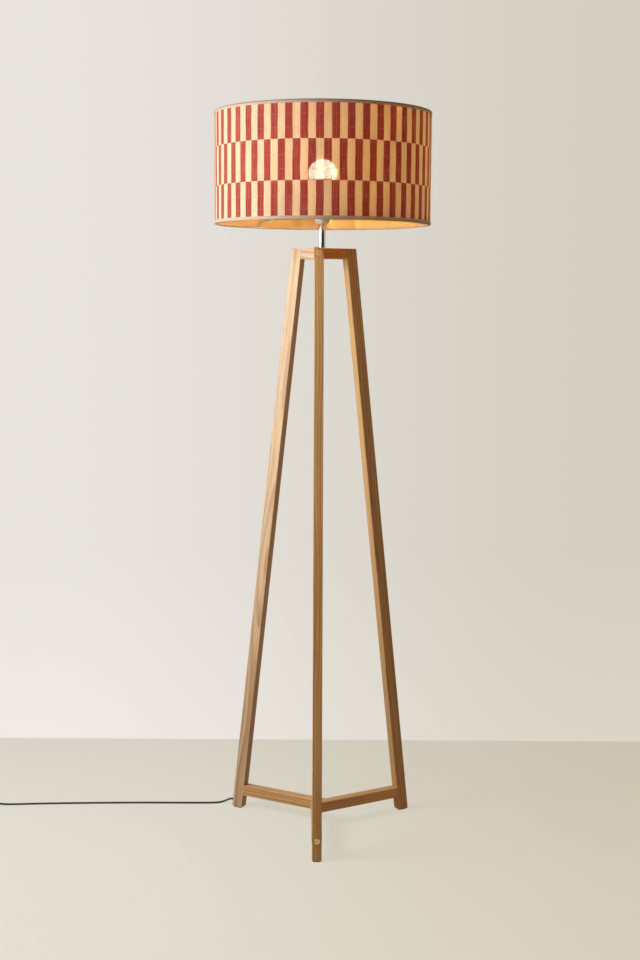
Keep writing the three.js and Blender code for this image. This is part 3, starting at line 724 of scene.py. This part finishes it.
# Each turn's place in the coil, from its first to its last: which radius, and which layer.
COIL_TURNS = [
    (RADII[ring], LAYERS[layer])
    for ring, layer in ((0, 0), (1, 0), (2, 0), (2, 1), (1, 1), (0, 1), (1, 2), (0, 2))
]
MOVE_SHARE = 0.25  # the last part of a turn, in which the lead moves over to the next turn's place
STEPS_PER_TURN = 40


def coil_line():
    """The turns, counterclockwise from the back of the coil; the last is half a turn."""
    centre = middle("cord_coil")
    points = []
    steps = int((len(COIL_TURNS) - 0.5) * STEPS_PER_TURN)
    for step in range(steps + 1):
        turn, share = divmod(step / STEPS_PER_TURN, 1)
        radius, z = COIL_TURNS[int(turn)]
        next_radius, next_z = COIL_TURNS[min(int(turn) + 1, len(COIL_TURNS) - 1)]
        moved = max((share - 1 + MOVE_SHARE) / MOVE_SHARE, 0)
        ease = (1 - cos(pi * moved)) / 2
        angle = pi / 2 + TURN * step / STEPS_PER_TURN
        reach = radius + (next_radius - radius) * ease
        height = z + (next_z - z) * ease
        points.append(Vector((centre.x, centre.y, height)) + reach * level_direction(angle))
    return points


def line_length(line):
    return sum((b - a).length for a, b in zip(line, line[1:]))


def make_cord(sheath):
    """The whole lead as one curve; returns it with its length."""
    coil = coil_line()
    line = smooth_line([*TO_COIL, coil[0]], CORD_STEP) + coil[1:-1]
    line += smooth_line([coil[-1], *FROM_COIL], CORD_STEP)
    data = bpy.data.curves.new("lead", "CURVE")
    data.dimensions = "3D"
    data.bevel_depth = CORD_DIAMETER / 2
    data.bevel_resolution = 3
    data.use_fill_caps = True
    spline = data.splines.new("POLY")
    spline.points.add(len(line) - 1)
    for point, place in zip(spline.points, line):
        point.co = (*place, 1)
    data.materials.append(sheath)
    lead = add_object("lead", data)
    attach(lead, "tripod")
    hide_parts("cord_run", "cord_link", "cord_tail", "cord_coil")
    return lead, line_length(line)


def make_tie(strap):
    """A hook and loop strap around the coil's turns, with its end laid over itself."""
    centre = middle("cord_coil")
    radial = level_direction(radians(200))
    tangent = leftwards(radial)
    hold = Vector((centre.x, centre.y, LAYERS[1])) + radial * RADII[1]
    half_width, thickness = 4 * MM, 0.8 * MM
    half_r, half_z = 7.25 * MM, 6.9 * MM
    rings = []
    steps = 64
    overlap = 6
    for i in range(steps + overlap):
        angle = TURN * i / steps
        c, s = cos(angle), sin(angle)
        squareness = 1 / (abs(c) ** 5 + abs(s) ** 5) ** 0.2
        lift = 1.0 * MM * min(max((i - steps + 8) / overlap, 0), 1)
        inner = [(half_r + lift) * squareness * c, (half_z + lift) * squareness * s]
        outer = [inner[0] + thickness * c, inner[1] + thickness * s]
        ring = []
        for (r, z), side in ((inner, -1), (inner, 1), (outer, 1), (outer, -1)):
            place = hold + radial * r + tangent * (side * half_width)
            place.z = max(hold.z + z, 0.15 * MM)
            ring.append(place)
        rings.append(ring)
    return add_piece("lead_tie", mesh_from(rings), strap, "tripod", "cord_tie")


# ---- switch and plug on the lead ----


def make_switch(body_plastic, key_plastic):
    """Base and cover, two shells that meet in a fine groove, and the rocker in the cover's window."""
    base_low, base_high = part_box("switch_base")
    cover_low, cover_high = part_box("switch_cover")
    width, depth, corner = base_high.x - base_low.x, base_high.y - base_low.y, 7 * MM
    place = Matrix.Translation((middle("switch_base").x, middle("switch_base").y, 0))
    wall, groove = 1.8 * MM, 0.3 * MM
    base = slab(width, depth, corner, [
        *reversed(fillet(base_low.z + 1.5 * MM, 1.5 * MM, -1)),
        (base_high.z - 0.4 * MM, 0), (base_high.z, groove), (base_high.z, wall), (base_low.z + wall, wall),
    ])
    mesh = mesh_from(base, matrix=place)
    bottom = add_piece("switch_bottom", mesh, body_plastic, "tripod", "switch_base")
    cover = slab(width, depth, corner, [
        (cover_low.z, wall), (cover_low.z, groove), (cover_low.z + 0.4 * MM, 0),
        *fillet(cover_high.z - 2.2 * MM, 2.2 * MM, 1),
    ])
    window_width, window_depth = 22.8, 13
    for wider, deeper, round_by, down in (
        (2.4, 2.4, 2.0, 0), (0.8, 0.8, 1.3, 0.35), (0, 0, 1.0, 0.75), (0, 0, 1.0, 4.5), (8, 4, 1.0, 4.5),
    ):
        cover.append(rounded_rectangle(
            (window_width + wider) * MM, (window_depth + deeper) * MM, round_by * MM, cover_high.z - down * MM
        ))
    under = cover_high.z - 5.5 * MM
    cover.append(rounded_rectangle(width - 2 * wall, depth - 2 * wall, corner - wall, under))
    mesh = mesh_from(cover, "looped", place)
    top = add_piece("switch_top", mesh, body_plastic, "tripod", "switch_cover")
    return [bottom, top, make_rocker(key_plastic)]


def make_rocker(key_plastic):
    """The key, tipped as in the frame: two shallow pads, a ridge at each end and a raised dot."""
    joint = next(j for j in frame["joints"] if j["name"] == "rocker_tip")
    pivot = Vector(joint["pos_m"])
    tilt = radians(joint["range_deg"][1] / 2)
    half, width = 10.15 * MM, 12 * MM
    steps = 24
    stations = [half * (2 * i / steps - 1) for i in range(steps + 1)]
    profile = [(x, 4.1 * MM + 1.15 * MM * (abs(x) / half) ** 1.6) for x in stations]
    belly = [(0.99 * x, -2.6 * MM + 3 * MM * (abs(x) / half) ** 1.2) for x in reversed(stations)]
    rings = []
    for y, inset in ((-0.5, 0.5), (-0.47, 0.12), (-0.42, 0.0), (0.42, 0.0), (0.47, 0.12), (0.5, 0.5)):
        top = [(x * (1 - 0.03 * inset), y * width, z - inset * MM) for x, z in profile]
        rings.append(top + [(x, y * width, z) for x, z in belly])
    turn = Matrix.Translation(pivot) @ Matrix.Rotation(tilt, 4, "Y")
    key = mesh_from(rings, matrix=turn)
    dot = lathe(raised([(1.5, 4.3), (1.5, 4.95), (1.2, 5.1)], 0), 20)
    mark = mesh_from(dot, matrix=turn @ Matrix.Translation((6 * MM, 0, 0)))
    mesh = joined(key, mark)
    return add_piece("switch_key", mesh, key_plastic, "rocker", "switch_rocker")


def make_plug(body_plastic, pin_metal):
    """A moulded two-pin plug: waisted body, ribbed sleeve on the lead, and two round pins."""
    front = low("plug_pin_near").x + 5.6 * MM
    y, z = PLUG_Y, middle("plug_pin_near").z
    # How far behind the front face, and half the width and height there, in millimetres.
    stations = [
        (0, 12.6, 5.6), (0.6, 13.8, 6.4), (2.5, 15.8, 6.6), (5, 17.0, 6.7), (15, 17.1, 6.7), (19, 15.6, 6.65),
        (25, 12.2, 6.5), (31, 9.4, 6.2), (36, 7.4, 5.8), (39, 6.0, 5.2), (40, 4.4, 4.4),
    ]
    rings = []
    for behind, half_y, half_z in stations:
        corner = min(half_y, half_z, 4.2) * 0.95 * MM
        outline = rounded_rectangle(2 * half_y * MM, 2 * half_z * MM, corner, 0)
        rings.append([(front - behind * MM, y + a, z + min(b, z)) for a, b, _ in outline])
    back = low("plug_body").x
    profile = ribbed_sleeve(front - 39.5 * MM - back, 4.3 * MM, 2.75 * MM, 0.45 * MM, 26, 3)
    sleeve = mesh_from(lathe(profile, 28), matrix=facing(Vector((back, y, z)), Vector((-1, 0, 0))))
    body = joined(mesh_from(rings), sleeve)
    pieces = [add_piece("plug", body, body_plastic, "tripod", "plug_body")]
    for name in ("pin_near", "pin_far"):
        node = f"plug_{name}"
        radius = (high(node).z - low(node).z) / 2
        length = high(node).x - front
        tip = [(radius, 1.6), (radius * 0.93, 0.9), (radius * 0.7, 0.25), (radius * 0.35, 0)]
        profile = [(radius * 0.8, -4 * MM), (radius, -3.5 * MM)]
        profile += [(r, length - before * MM) for r, before in tip]
        matrix = facing(Vector((front, middle(node).y, z)), Vector((1, 0, 0)))
        pin = mesh_from(lathe(profile, 24), matrix=matrix)
        pieces.append(add_piece(name, pin, pin_metal, "tripod", node))
    return pieces


def make_strain_relief(material):
    """The moulded block in the left leg's back and its ribbed, tapered sleeve around the lead."""
    direction = outward("left")
    across = leftwards(direction)
    start, end = extent("strain_relief", direction)
    low_edge, high_edge = extent("strain_relief", across)
    bottom, top = low("strain_relief").z, high("strain_relief").z
    block_depth = 10 * MM
    exit_point = Vector(TO_COIL[0])
    tip = direction * end + across * exit_point.dot(across) + UP * exit_point.z
    profile = ribbed_sleeve(end - start - block_depth, 4.2 * MM, 2.85 * MM, 0.4 * MM, 22, 1)
    sleeve = mesh_from(lathe(profile, 28), matrix=facing(tip, direction))
    centre = direction * (start + block_depth / 2) + across * ((low_edge + high_edge) / 2)
    turn = Matrix.Rotation(atan2(direction.y, direction.x), 4, "Z")
    block = slab(block_depth, high_edge - low_edge, 1.5 * MM, [
        *reversed(fillet(bottom + 0.8 * MM, 0.8 * MM, -1)), *fillet(top - 0.8 * MM, 0.8 * MM, 1),
    ])
    mesh = joined(mesh_from(block, matrix=Matrix.Translation(centre) @ turn), sleeve)
    return add_piece("lead_strain_relief", mesh, material, "tripod", "strain_relief")


def make_lead():
    sheath = cord_sheath()
    dark_plastic = plastic("dark_plastic", (0.052, 0.028, 0.016), 0.38)
    key_plastic = plastic("key_plastic", (0.07, 0.04, 0.024), 0.3)
    lead, length = make_cord(sheath)
    tie = make_tie(woven_strap())
    switch = make_switch(dark_plastic, key_plastic)
    plug = make_plug(dark_plastic, metal("plug_nickel", (0.74, 0.73, 0.70), 0.22, (1, 40, 40)))
    relief = make_strain_relief(dark_plastic)
    paint_nodes(sheath, "inner_lead")


# ---- tripod ----


def paint_nodes(material, *names):
    for name in names:
        mesh = NODES[name].data
        mesh.materials.clear()
        mesh.materials.append(material)
        mesh.polygons.foreach_set("material_index", [0] * len(mesh.polygons))


LEG_DEPTH = 25 * MM
BAR_WIDTH = 21 * MM
# Light and dark wood of each bar.
# Painted light in the hub bars: the left one takes a paler oak where the key falls on it, and the right one a
# redder oak where the lamp's warm light falls on it. All the bars are one oak.
PAINTED_KEY_LIGHT_OAK = ((0.92, 0.66, 0.37), (0.52, 0.29, 0.11))
WARM_OAK = ((0.90, 0.53, 0.21), (0.47, 0.21, 0.06))
PAINTED_LAMP_LIGHT_OAK = ((0.95, 0.42, 0.07), (0.48, 0.16, 0.02))
# Painted light in the legs: their tones are set apart side by side to match how light falls on each, with the
# left leg paler where the key falls on it.
LEG_TONES_WITH_PAINTED_LIGHT = {
    "front": ((0.72, 0.42, 0.155), (0.33, 0.14, 0.035)),
    "right": ((0.72, 0.43, 0.165), (0.35, 0.16, 0.04)),
    "left": ((0.80, 0.54, 0.31), (0.42, 0.21, 0.085)),
}
HUB_TONES_WITH_PAINTED_LIGHT = {"front": WARM_OAK, "right": PAINTED_LAMP_LIGHT_OAK, "left": PAINTED_KEY_LIGHT_OAK}


def make_wood():
    for index, side in enumerate(SIDES):
        top, foot = leg_line(side)
        direction = outward(side)
        sideways = leftwards(direction)
        lean = (foot - top).dot(direction) / (top.z - foot.z)
        leg_depth = Vector((direction.x, direction.y, lean))
        leg = f"{side}_leg"
        near, far = extent(leg, sideways)
        sizes = ((far - near) / 2, LEG_DEPTH / 2)
        across, depth = (sideways, top.dot(sideways)), (leg_depth, top.dot(leg_depth))
        # The leg's tones carry painted light for its side.
        material = wood(f"oak_{leg}", across, depth, (UP, 0.0), sizes, LEG_TONES_WITH_PAINTED_LIGHT[side], index + 1)
        paint_nodes(material, leg)
        for number, bar in enumerate((f"{side}_hub_bar", f"{side}_stretcher_bar")):
            sizes = (BAR_WIDTH / 2, (high(bar).z - low(bar).z) / 2)
            # A hub bar's tone carries painted light for its side; the stretchers share one oak.
            tone = WARM_OAK if number else HUB_TONES_WITH_PAINTED_LIGHT[side]
            seed = 4 + index + 3 * number
            upwards = (UP, middle(bar).z)
            paint_nodes(wood(f"oak_{bar}", across, upwards, (direction, 0.0), sizes, tone, seed), bar)


def hexagon_ring(across_flats, z):
    def reach_at(angle):
        to_flat = (angle + pi / 6) % (pi / 3) - pi / 6
        return across_flats / 2 / cos(to_flat)

    return level_ring(reach_at, z)


def make_bolts(brass):
    """Furniture bolts: flat domed head with a hex socket, on a plain shaft."""
    shaft, head = 3 * MM, 2.5 * MM
    # The head's rim towards its face: how far inside the radius and below the face, in millimetres.
    rim = [(0, 0.8), (0.12, 0.45), (0.4, 0.2), (0.9, 0.05), (1.6, 0)]
    socket = [hexagon_ring(width * MM, -depth * MM) for width, depth in ((4.5, 0), (4.0, 0.25), (4.0, 1.7))]
    for side in SIDES:
        direction = outward(side)
        for level in LEVELS:
            node = f"{side}_{level}_bolt"
            start, end = extent(node, direction)
            radius = (high(node).z - low(node).z) / 2
            profile = [
                (shaft - 0.6 * MM, start - end), (shaft, start - end + 0.8 * MM), (shaft, -head),
                (radius - 0.2 * MM, -head), (radius, -head + 0.2 * MM),
                *((radius - inset * MM, -depth * MM) for inset, depth in rim),
            ]
            rings = [*lathe(profile), *socket, circle(0.8 * MM, -2.1 * MM)]
            centre = middle(node)
            matrix = facing(centre + direction * (end - centre.dot(direction)), direction)
            screw = mesh_from(rings, matrix=matrix)
            add_piece(f"{side}_{level}_screw", screw, brass, "tripod", node, 25)


def make_stem(chrome):
    """The chrome tube on the hub, with rolled ends."""
    tube_low, tube_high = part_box("stem_tube")
    radius = (tube_high.x - tube_low.x) / 2
    bore = radius - 1 * MM
    bottom, top = tube_low.z, tube_high.z
    profile = [
        (bore, bottom), (radius - 0.25 * MM, bottom), (radius, bottom + 0.3 * MM), (radius, top - 0.3 * MM),
        (radius - 0.25 * MM, top), (bore, top),
    ]
    tube_mesh = mesh_from(lathe(profile, 72), "looped")
    add_piece("stem", tube_mesh, chrome, "tripod", "stem_tube")


def make_holder(white):
    """The tapered skirt, and the outer body with its flange for the shade and its thread."""
    cap_low, cap_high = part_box("holder_cap")
    cap_profile = [
        (5.4, 0), (10.2, 0), (11.2, 0.3), (12.1, 1.1), (13.4, 2.4), (14.9, 4.4), (16.7, 8.0), (18.2, 11.3),
        (19.2, 14.3), (19.55, 16.8), (19.6, 21.7), (19.4, 22.5), (17.8, 22.5), (17.5, 15), (15, 10), (11, 4),
        (5.4, 3),
    ]
    factor = (cap_high.z - cap_low.z) / (22.5 * MM)
    cap = mesh_from(lathe(raised(cap_profile, cap_low.z, factor), 64), "looped")
    add_piece("lampholder_cap", cap, white, "tripod", "holder_cap")
    make_set_screw()
    bottom, top = low("holder_body").z, high("holder_body").z
    below_flange = [
        (16.9, 0), (19.3, 0), (19.6, 0.4), (19.6, 16.2), (20.4, 16.9), (23.6, 17.2), (24, 17.7), (24, 19.6),
        (23.6, 20), (19.8, 20),
    ]
    profile = raised(below_flange, bottom)
    flange = bottom + 20 * MM
    pitch = 2.4 * MM
    for i in range(int((top - flange) / pitch) - 1):
        z = flange + 1.6 * MM + i * pitch
        profile += [(19.05 * MM, z), (19.6 * MM, z + 0.5 * pitch), (19.05 * MM, z + 0.96 * pitch)]
    profile += raised([(18.9, 0), (18.4, 0)], top) + raised([(18.4, 23), (16.9, 22)], bottom)
    body = mesh_from(lathe(profile, 64), "looped")
    add_piece("lampholder", body, white, "tripod", "holder_body")


def make_set_screw():
    """The grub screw in the lampholder's skirt: a socket in a small steel rim."""
    place = middle("holder_set_screw")
    outwards = Vector((place.x, place.y, 0)).normalized()
    end = extent("holder_set_screw", outwards)[1]
    origin = place + outwards * (end + 0.9 * MM - place.dot(outwards))
    profile = [(0.5, -5), (1.9, -5), (1.9, -0.3), (1.6, 0), (1.15, 0), (1.1, -1.4), (0.3, -1.6)]
    screw = mesh_from(lathe(raised(profile, 0), 24), matrix=facing(origin, outwards))
    dark_steel = metal("dark_steel", (0.16, 0.15, 0.14), 0.35)
    add_piece("grub_screw", screw, dark_steel, "tripod", "holder_set_screw", 30)


# ---- bulb ----


def make_bulb_cap(cap_metal):
    """The contact, its insulating cone and the screw thread."""
    cap_low, cap_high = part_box("bulb_cap")
    radius = (cap_high.x - cap_low.x) / 2
    profile = raised([(3.4, 0), (4.6, 0.6), (5.4, 2), (9.5, 4), (12.4, 5)], cap_low.z)
    pitch, depth = 3.6 * MM, 0.45 * MM
    turns, steps = 5, 6
    for i in range(turns * steps + 1):
        z = cap_low.z + 5.4 * MM + i * pitch / steps
        profile.append((radius - depth + depth * cos(TURN * i / steps), z))
    profile += [(radius, cap_high.z - 1.2 * MM), (radius, cap_high.z)]
    cap = mesh_from(lathe(profile, 56))
    add_piece("bulb_screw_cap", cap, cap_metal, "bulb", "bulb_cap")


def make_bulb_housing(white):
    """The widening body, with shallow grooves down its sides."""
    body_low, body_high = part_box("bulb_body")
    shape = [
        (13.1, 0), (13.6, 0.4), (13.9, 3), (14.8, 6), (17, 13), (19.6, 20), (22.2, 27), (24.6, 33.5),
        (26.2, 38), (27, 40.6), (27, 41.2),
    ]
    tall = (body_high.z - body_low.z) / 41.2
    steps = 96
    rings = []
    for radius, h in shape:
        groove = 0.5 if 5 < h < 38 else 0.0
        reaches = [(radius - groove * (i % 4 == 0)) * MM for i in range(steps)]
        z = body_low.z + h * tall
        rings.append(level_ring(lambda angle: reaches[round(angle / TURN * steps)], z, steps))
    add_piece("bulb_housing", mesh_from(rings), white, "bulb", "bulb_body")


def make_dome(material):
    """The diffuser: a part of a hollow ball, open below."""
    dome_low, dome_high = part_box("bulb_dome")
    ball = (dome_high.x - dome_low.x) / 2
    thickness = 1.2 * MM
    centre = dome_high.z - ball
    first = asin((dome_low.z - centre) / ball)
    last = pi / 2 - 0.02
    steps = 22
    angles = [first + (last - first) * i / steps for i in range(steps + 1)]
    outer = [(ball * cos(a), centre + ball * sin(a)) for a in angles]
    within = ball - thickness
    inner = [(within * cos(a), max(centre + within * sin(a), dome_low.z)) for a in reversed(angles)]
    dome = mesh_from(lathe(outer + inner, 64), "looped")
    add_piece("bulb_diffuser", dome, material, "bulb", "bulb_dome")


# ---- shade ----

SKIN_STEPS = CHECK_PAIRS * 12
SKIN_ROWS = 64
LINING_ROWS = 12
TAPE_STEPS = 360
SPOKE_AZIMUTHS = (130, 250, 10)


def make_skin():
    """The drum: a closed thin sheet, its outer face with the slight waves of straw on a frame."""
    skin_low, skin_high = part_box("shade_skin")
    outer = skin_high.x
    height = skin_high.z - skin_low.z
    thickness = 1.2 * MM

    def ring(z, reach, wavy):
        def reach_at(angle):
            x, y = cos(angle), sin(angle)
            slow = noise.noise(Vector((x * 5, y * 5, z * 6)))
            quick = noise.noise(Vector((x * 150, y * 150, z * 9)))
            return reach + wavy * (0.10 * slow + 0.07 * quick - 0.12) * MM

        return level_ring(reach_at, z, SKIN_STEPS)

    rings = [ring(skin_low.z + height * row / SKIN_ROWS, outer, 1.0) for row in range(SKIN_ROWS + 1)]
    for row in range(LINING_ROWS + 1):
        rings.append(ring(skin_high.z - height * row / LINING_ROWS, outer - thickness, 0.5))
    materials = [straw_fabric(), shade_lining()]
    mesh = mesh_from(rings, "looped")
    skin = add_piece("shade_cloth", mesh, materials, "shade", "shade_skin", 80)
    split = outer - 0.75 * thickness
    for face in mesh.polygons:
        reach = max(hypot(*mesh.vertices[v].co.xy) for v in face.vertices)
        face.material_index = 1 if reach < split else 0


def make_tape(node, name, edge, inwards, cloth):
    """Tape folded around the rim: up the outside, around the edge and a little way under the ring."""
    tape_low, tape_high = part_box(node)
    outer = tape_high.x
    width = (tape_high.z - tape_low.z) / MM
    # How far in from the outside, and how far from the rim's edge, in millimetres.
    section = [
        (0.5, width), (0.15, width), (0, width - 0.25), (0, 1.4), (0.15, 0.7), (0.6, 0.2), (1.3, 0),
        (5.8, 0), (6.7, 0.3), (7, 1.2), (6.7, 5.6), (6.2, 5.6), (6.5, 1.4), (5.7, 0.5), (1.4, 0.5),
        (0.65, 1), (0.5, 1.6),
    ]
    rings = []
    for i in range(TAPE_STEPS):
        angle = TURN * i / TAPE_STEPS
        x, y = cos(angle), sin(angle)
        pucker = 0.12 * MM * abs(noise.noise(Vector((x * 40, y * 40, edge))))
        uneven = 0.35 * MM * abs(noise.noise(Vector((x * 18, y * 18, 3))))
        ring = []
        for inset, h in section:
            reach = outer - inset * MM - pucker
            ring.append((reach * x, reach * y, edge + inwards * (h * MM - uneven * h / width)))
        rings.append(ring)
    add_piece(name, mesh_from(rings, "looped"), cloth, "shade", node, 60)


def make_wires(wire):
    """Top ring, bottom ring with three bent spokes, and the seat that rests on the lampholder."""
    top_low, top_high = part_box("shade_top_ring")
    gauge = (top_high.z - top_low.z) / 2
    reach = top_high.x - gauge
    top_ring = tube(circle(reach, middle("shade_top_ring").z, 180), gauge, closed=True)
    add_piece("shade_wire_top", top_ring, wire, "shade", "shade_top_ring")
    seat_z = low("shade_clamp_ring").z - 1.6 * MM
    ring_z = low("shade_fitter").z + gauge
    bends = [
        (24 * MM, seat_z), (36 * MM, seat_z - 2.4 * MM),
        (reach - 14 * MM, ring_z + 4.6 * MM), (reach - 0.6 * MM, ring_z + 0.4 * MM),
    ]
    parts = [tube(circle(reach, ring_z, 180), gauge, closed=True)]
    for azimuth in SPOKE_AZIMUTHS:
        direction = level_direction(radians(azimuth))
        line = smooth_line([direction * out + UP * z for out, z in bends], 4 * MM)
        parts.append(tube(line, 1.75 * MM))
    seat = [(20.3, -1.15), (25.6, -1.15), (26, -0.8), (26, 0.8), (25.6, 1.15), (20.3, 1.15)]
    parts.append(mesh_from(lathe(raised(seat, seat_z), 64), "looped"))
    add_piece("shade_wire_fitter", joined(*parts), wire, "shade", "shade_fitter")


def make_clamp_ring(white):
    """The screwed ring that holds the shade, with finger lobes."""
    ring_low, ring_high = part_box("shade_clamp_ring")
    outer, bottom, top = ring_high.x, ring_low.z, ring_high.z
    steps, lobes = 192, 16

    def lobed(radius, z, depth):
        return level_ring(lambda angle: radius - depth * (0.5 + 0.5 * cos(lobes * angle)) ** 3, z, steps)

    rings = [
        circle(20 * MM, bottom, steps), lobed(outer - 0.6 * MM, bottom, 1.3 * MM),
        lobed(outer, bottom + 0.6 * MM, 1.3 * MM), lobed(outer, top - 1 * MM, 1.3 * MM),
        lobed(outer - 0.9 * MM, top, 1.0 * MM), circle(21.2 * MM, top, steps),
        circle(20 * MM, top - 0.8 * MM, steps),
    ]
    mesh = mesh_from(rings, "looped")
    add_piece("shade_ring_nut", mesh, white, "clamp_ring", "shade_clamp_ring", 30)


def make_shade(white, wire):
    make_skin()
    cloth = shade_tape_cloth()
    make_tape("shade_bottom_tape", "shade_edge_bottom", low("shade_bottom_tape").z, 1, cloth)
    make_tape("shade_top_tape", "shade_edge_top", high("shade_top_tape").z, -1, cloth)
    make_wires(wire)
    make_clamp_ring(white)


# ---- studio ----

WALL_Y = 0.62
FLOOR_Z = -0.3 * MM  # just under the pads, so that no faces coincide
LIGHT_TARGET = Vector((0, 0, 1.2))
# Painted light on the backdrop wall: it glows brighter on the left, where the key stands, than on the right.
PAINTED_LIGHT_LEFT = (0.81, 0.775, 0.735)
PAINTED_LIGHT_RIGHT = (0.665, 0.625, 0.54)


def plane(name, corners, material):
    mesh = bpy.data.meshes.new(name)
    mesh.from_pydata(corners, [], [(0, 1, 2, 3)])
    mesh.materials.append(material)
    piece = add_object(name, mesh)
    piece.visible_diffuse = False
    return piece


def wall_paint():
    """A glowing wall whose painted light is brighter on the left and a little brighter towards the floor,
    seen from its front only so that it hides nothing from behind.
    """
    s = Shader("wall_paint")
    x, _, z = s.split(s.place())
    share = s.between(x, -0.75, 0.75, smooth=True)
    painted_glow = s.mix(share, PAINTED_LIGHT_LEFT, PAINTED_LIGHT_RIGHT)
    near_floor = s.between(z, 0.0, 0.5, 1.07, 1.0)
    lit = s.shader("Emission", Color=painted_glow, Strength=near_floor)
    behind = s.node("NewGeometry").outputs["Backfacing"]
    clear = s.shader("BsdfTransparent")
    s.show(s.blend(behind, lit, clear))
    return s.material


def floor_paint():
    s = Shader("floor_paint", Roughness=0.9, Base_Color=(0.16, 0.155, 0.145), Specular_IOR_Level=0.0)
    x, y, _ = s.split(s.place())
    # Painted light on the floor: it glows brighter on the left, where the key stands, and a little brighter
    # towards the front than by the wall.
    share = s.between(x, -0.9, 0.9, smooth=True)
    across = s.mix(share, (0.70, 0.685, 0.60), (0.64, 0.585, 0.48))
    painted_light_nearer = s.between(y, WALL_Y, -1.0, 0.85, 0.95)
    s.surface(Emission_Color=across, Emission_Strength=painted_light_nearer)
    return s.material


def make_stage():
    reach, wall_top = 14.0, 8.0
    corners = [(-reach, -reach, 0), (reach, -reach, 0), (reach, reach, 0), (-reach, reach, 0)]
    plane("floor", corners, floor_paint()).location.z = FLOOR_Z
    sides = ((-reach, FLOOR_Z), (reach, FLOOR_Z), (reach, wall_top), (-reach, wall_top))
    plane("wall", [(x, WALL_Y, z) for x, z in sides], wall_paint())


def make_light(name, place, size, energy, colour):
    data = bpy.data.lights.new(name, "AREA")
    data.shape = "RECTANGLE"
    data.size, data.size_y = size
    data.energy = energy
    data.color = colour
    light = add_object(name, data)
    light.location = place
    light.rotation_euler = (LIGHT_TARGET - Vector(place)).to_track_quat("-Z", "Y").to_euler()
    light.visible_camera = False
    return light


def make_lights():
    make_light("key", (-1.22, -0.50, 1.36), (0.8, 0.9), 31, (0.80, 0.90, 1.0))
    make_light("fill", (-0.45, -2.2, 2.2), (1.0, 1.0), 7.5, (1.0, 0.90, 0.65))
    card = make_light("right card", (1.5, -0.5, 1.4), (0.7, 1.4), 2, (1.0, 0.97, 0.92))
    card.visible_diffuse = False
    SCENE.view_settings.view_transform = "Standard"


def make_surroundings():
    """What lies beyond the walls: a warm fill for the wood and cloth, dark for gloss, pale for the camera."""
    world = bpy.data.worlds.new("studio")
    SCENE.world = world
    world.use_nodes = True
    nodes, links = world.node_tree.nodes, world.node_tree.links
    light = nodes["Background"]
    light.inputs["Color"].default_value = (1.0, 0.60, 0.29, 1)
    light.inputs["Strength"].default_value = 0.21
    rays = nodes.new("ShaderNodeLightPath")
    result = light.outputs[0]
    for kind, colour in (("Glossy", (0.035, 0.03, 0.025, 1)), ("Camera", (0.74, 0.70, 0.62, 1))):
        seen = nodes.new("ShaderNodeBackground")
        seen.inputs["Color"].default_value = colour
        choice = nodes.new("ShaderNodeMixShader")
        links.new(rays.outputs[f"Is {kind} Ray"], choice.inputs[0])
        links.new(result, choice.inputs[1])
        links.new(seen.outputs[0], choice.inputs[2])
        result = choice.outputs[0]
    links.new(result, nodes["World Output"].inputs["Surface"])


# ---- the lamp ----


def paint_hidden():
    steel = metal("plated_steel", (0.72, 0.72, 0.70), 0.3, (40, 40, 1))
    paint_nodes(steel, "lamp_tube", "hub_washer", "rocker_pin")
    zinc = metal("zinc", (0.66, 0.66, 0.63), 0.38)
    paint_nodes(zinc, *[f"{side}_{level}_insert" for side in SIDES for level in LEVELS])
    paint_nodes(felt(), *[f"{side}_foot_pad" for side in SIDES])
    paint_nodes(ceramic(), "holder_core")
    contact = metal("contact_brass", (0.72, 0.55, 0.27), 0.3)
    paint_nodes(contact, "screw_shell", "centre_contact")
    paint_nodes(plastic("solder_mask", (0.8, 0.8, 0.76), 0.4), "led_board")


def main():
    make_camera()
    make_lead()
    make_wood()
    brass = metal("bolt_brass", (0.78, 0.54, 0.22), 0.36, (1, 1, 1), 0.12, 2600)
    make_bolts(brass)
    paint_nodes(brass, "hub_nut")
    white = plastic("holder_white", (0.92, 0.90, 0.80), 0.35)
    make_stem(metal("stem_chrome", (0.86, 0.86, 0.87), 0.05, (60, 60, 1), 0.08))
    make_holder(white)
    make_bulb_cap(metal("bulb_cap_metal", (0.75, 0.75, 0.74), 0.25))
    make_bulb_housing(plastic("bulb_white", (0.85, 0.84, 0.80), 0.35))
    make_dome(lit_dome())
    make_shade(white, coated_wire())
    paint_hidden()
    make_stage()
    make_lights()
    make_surroundings()


main()
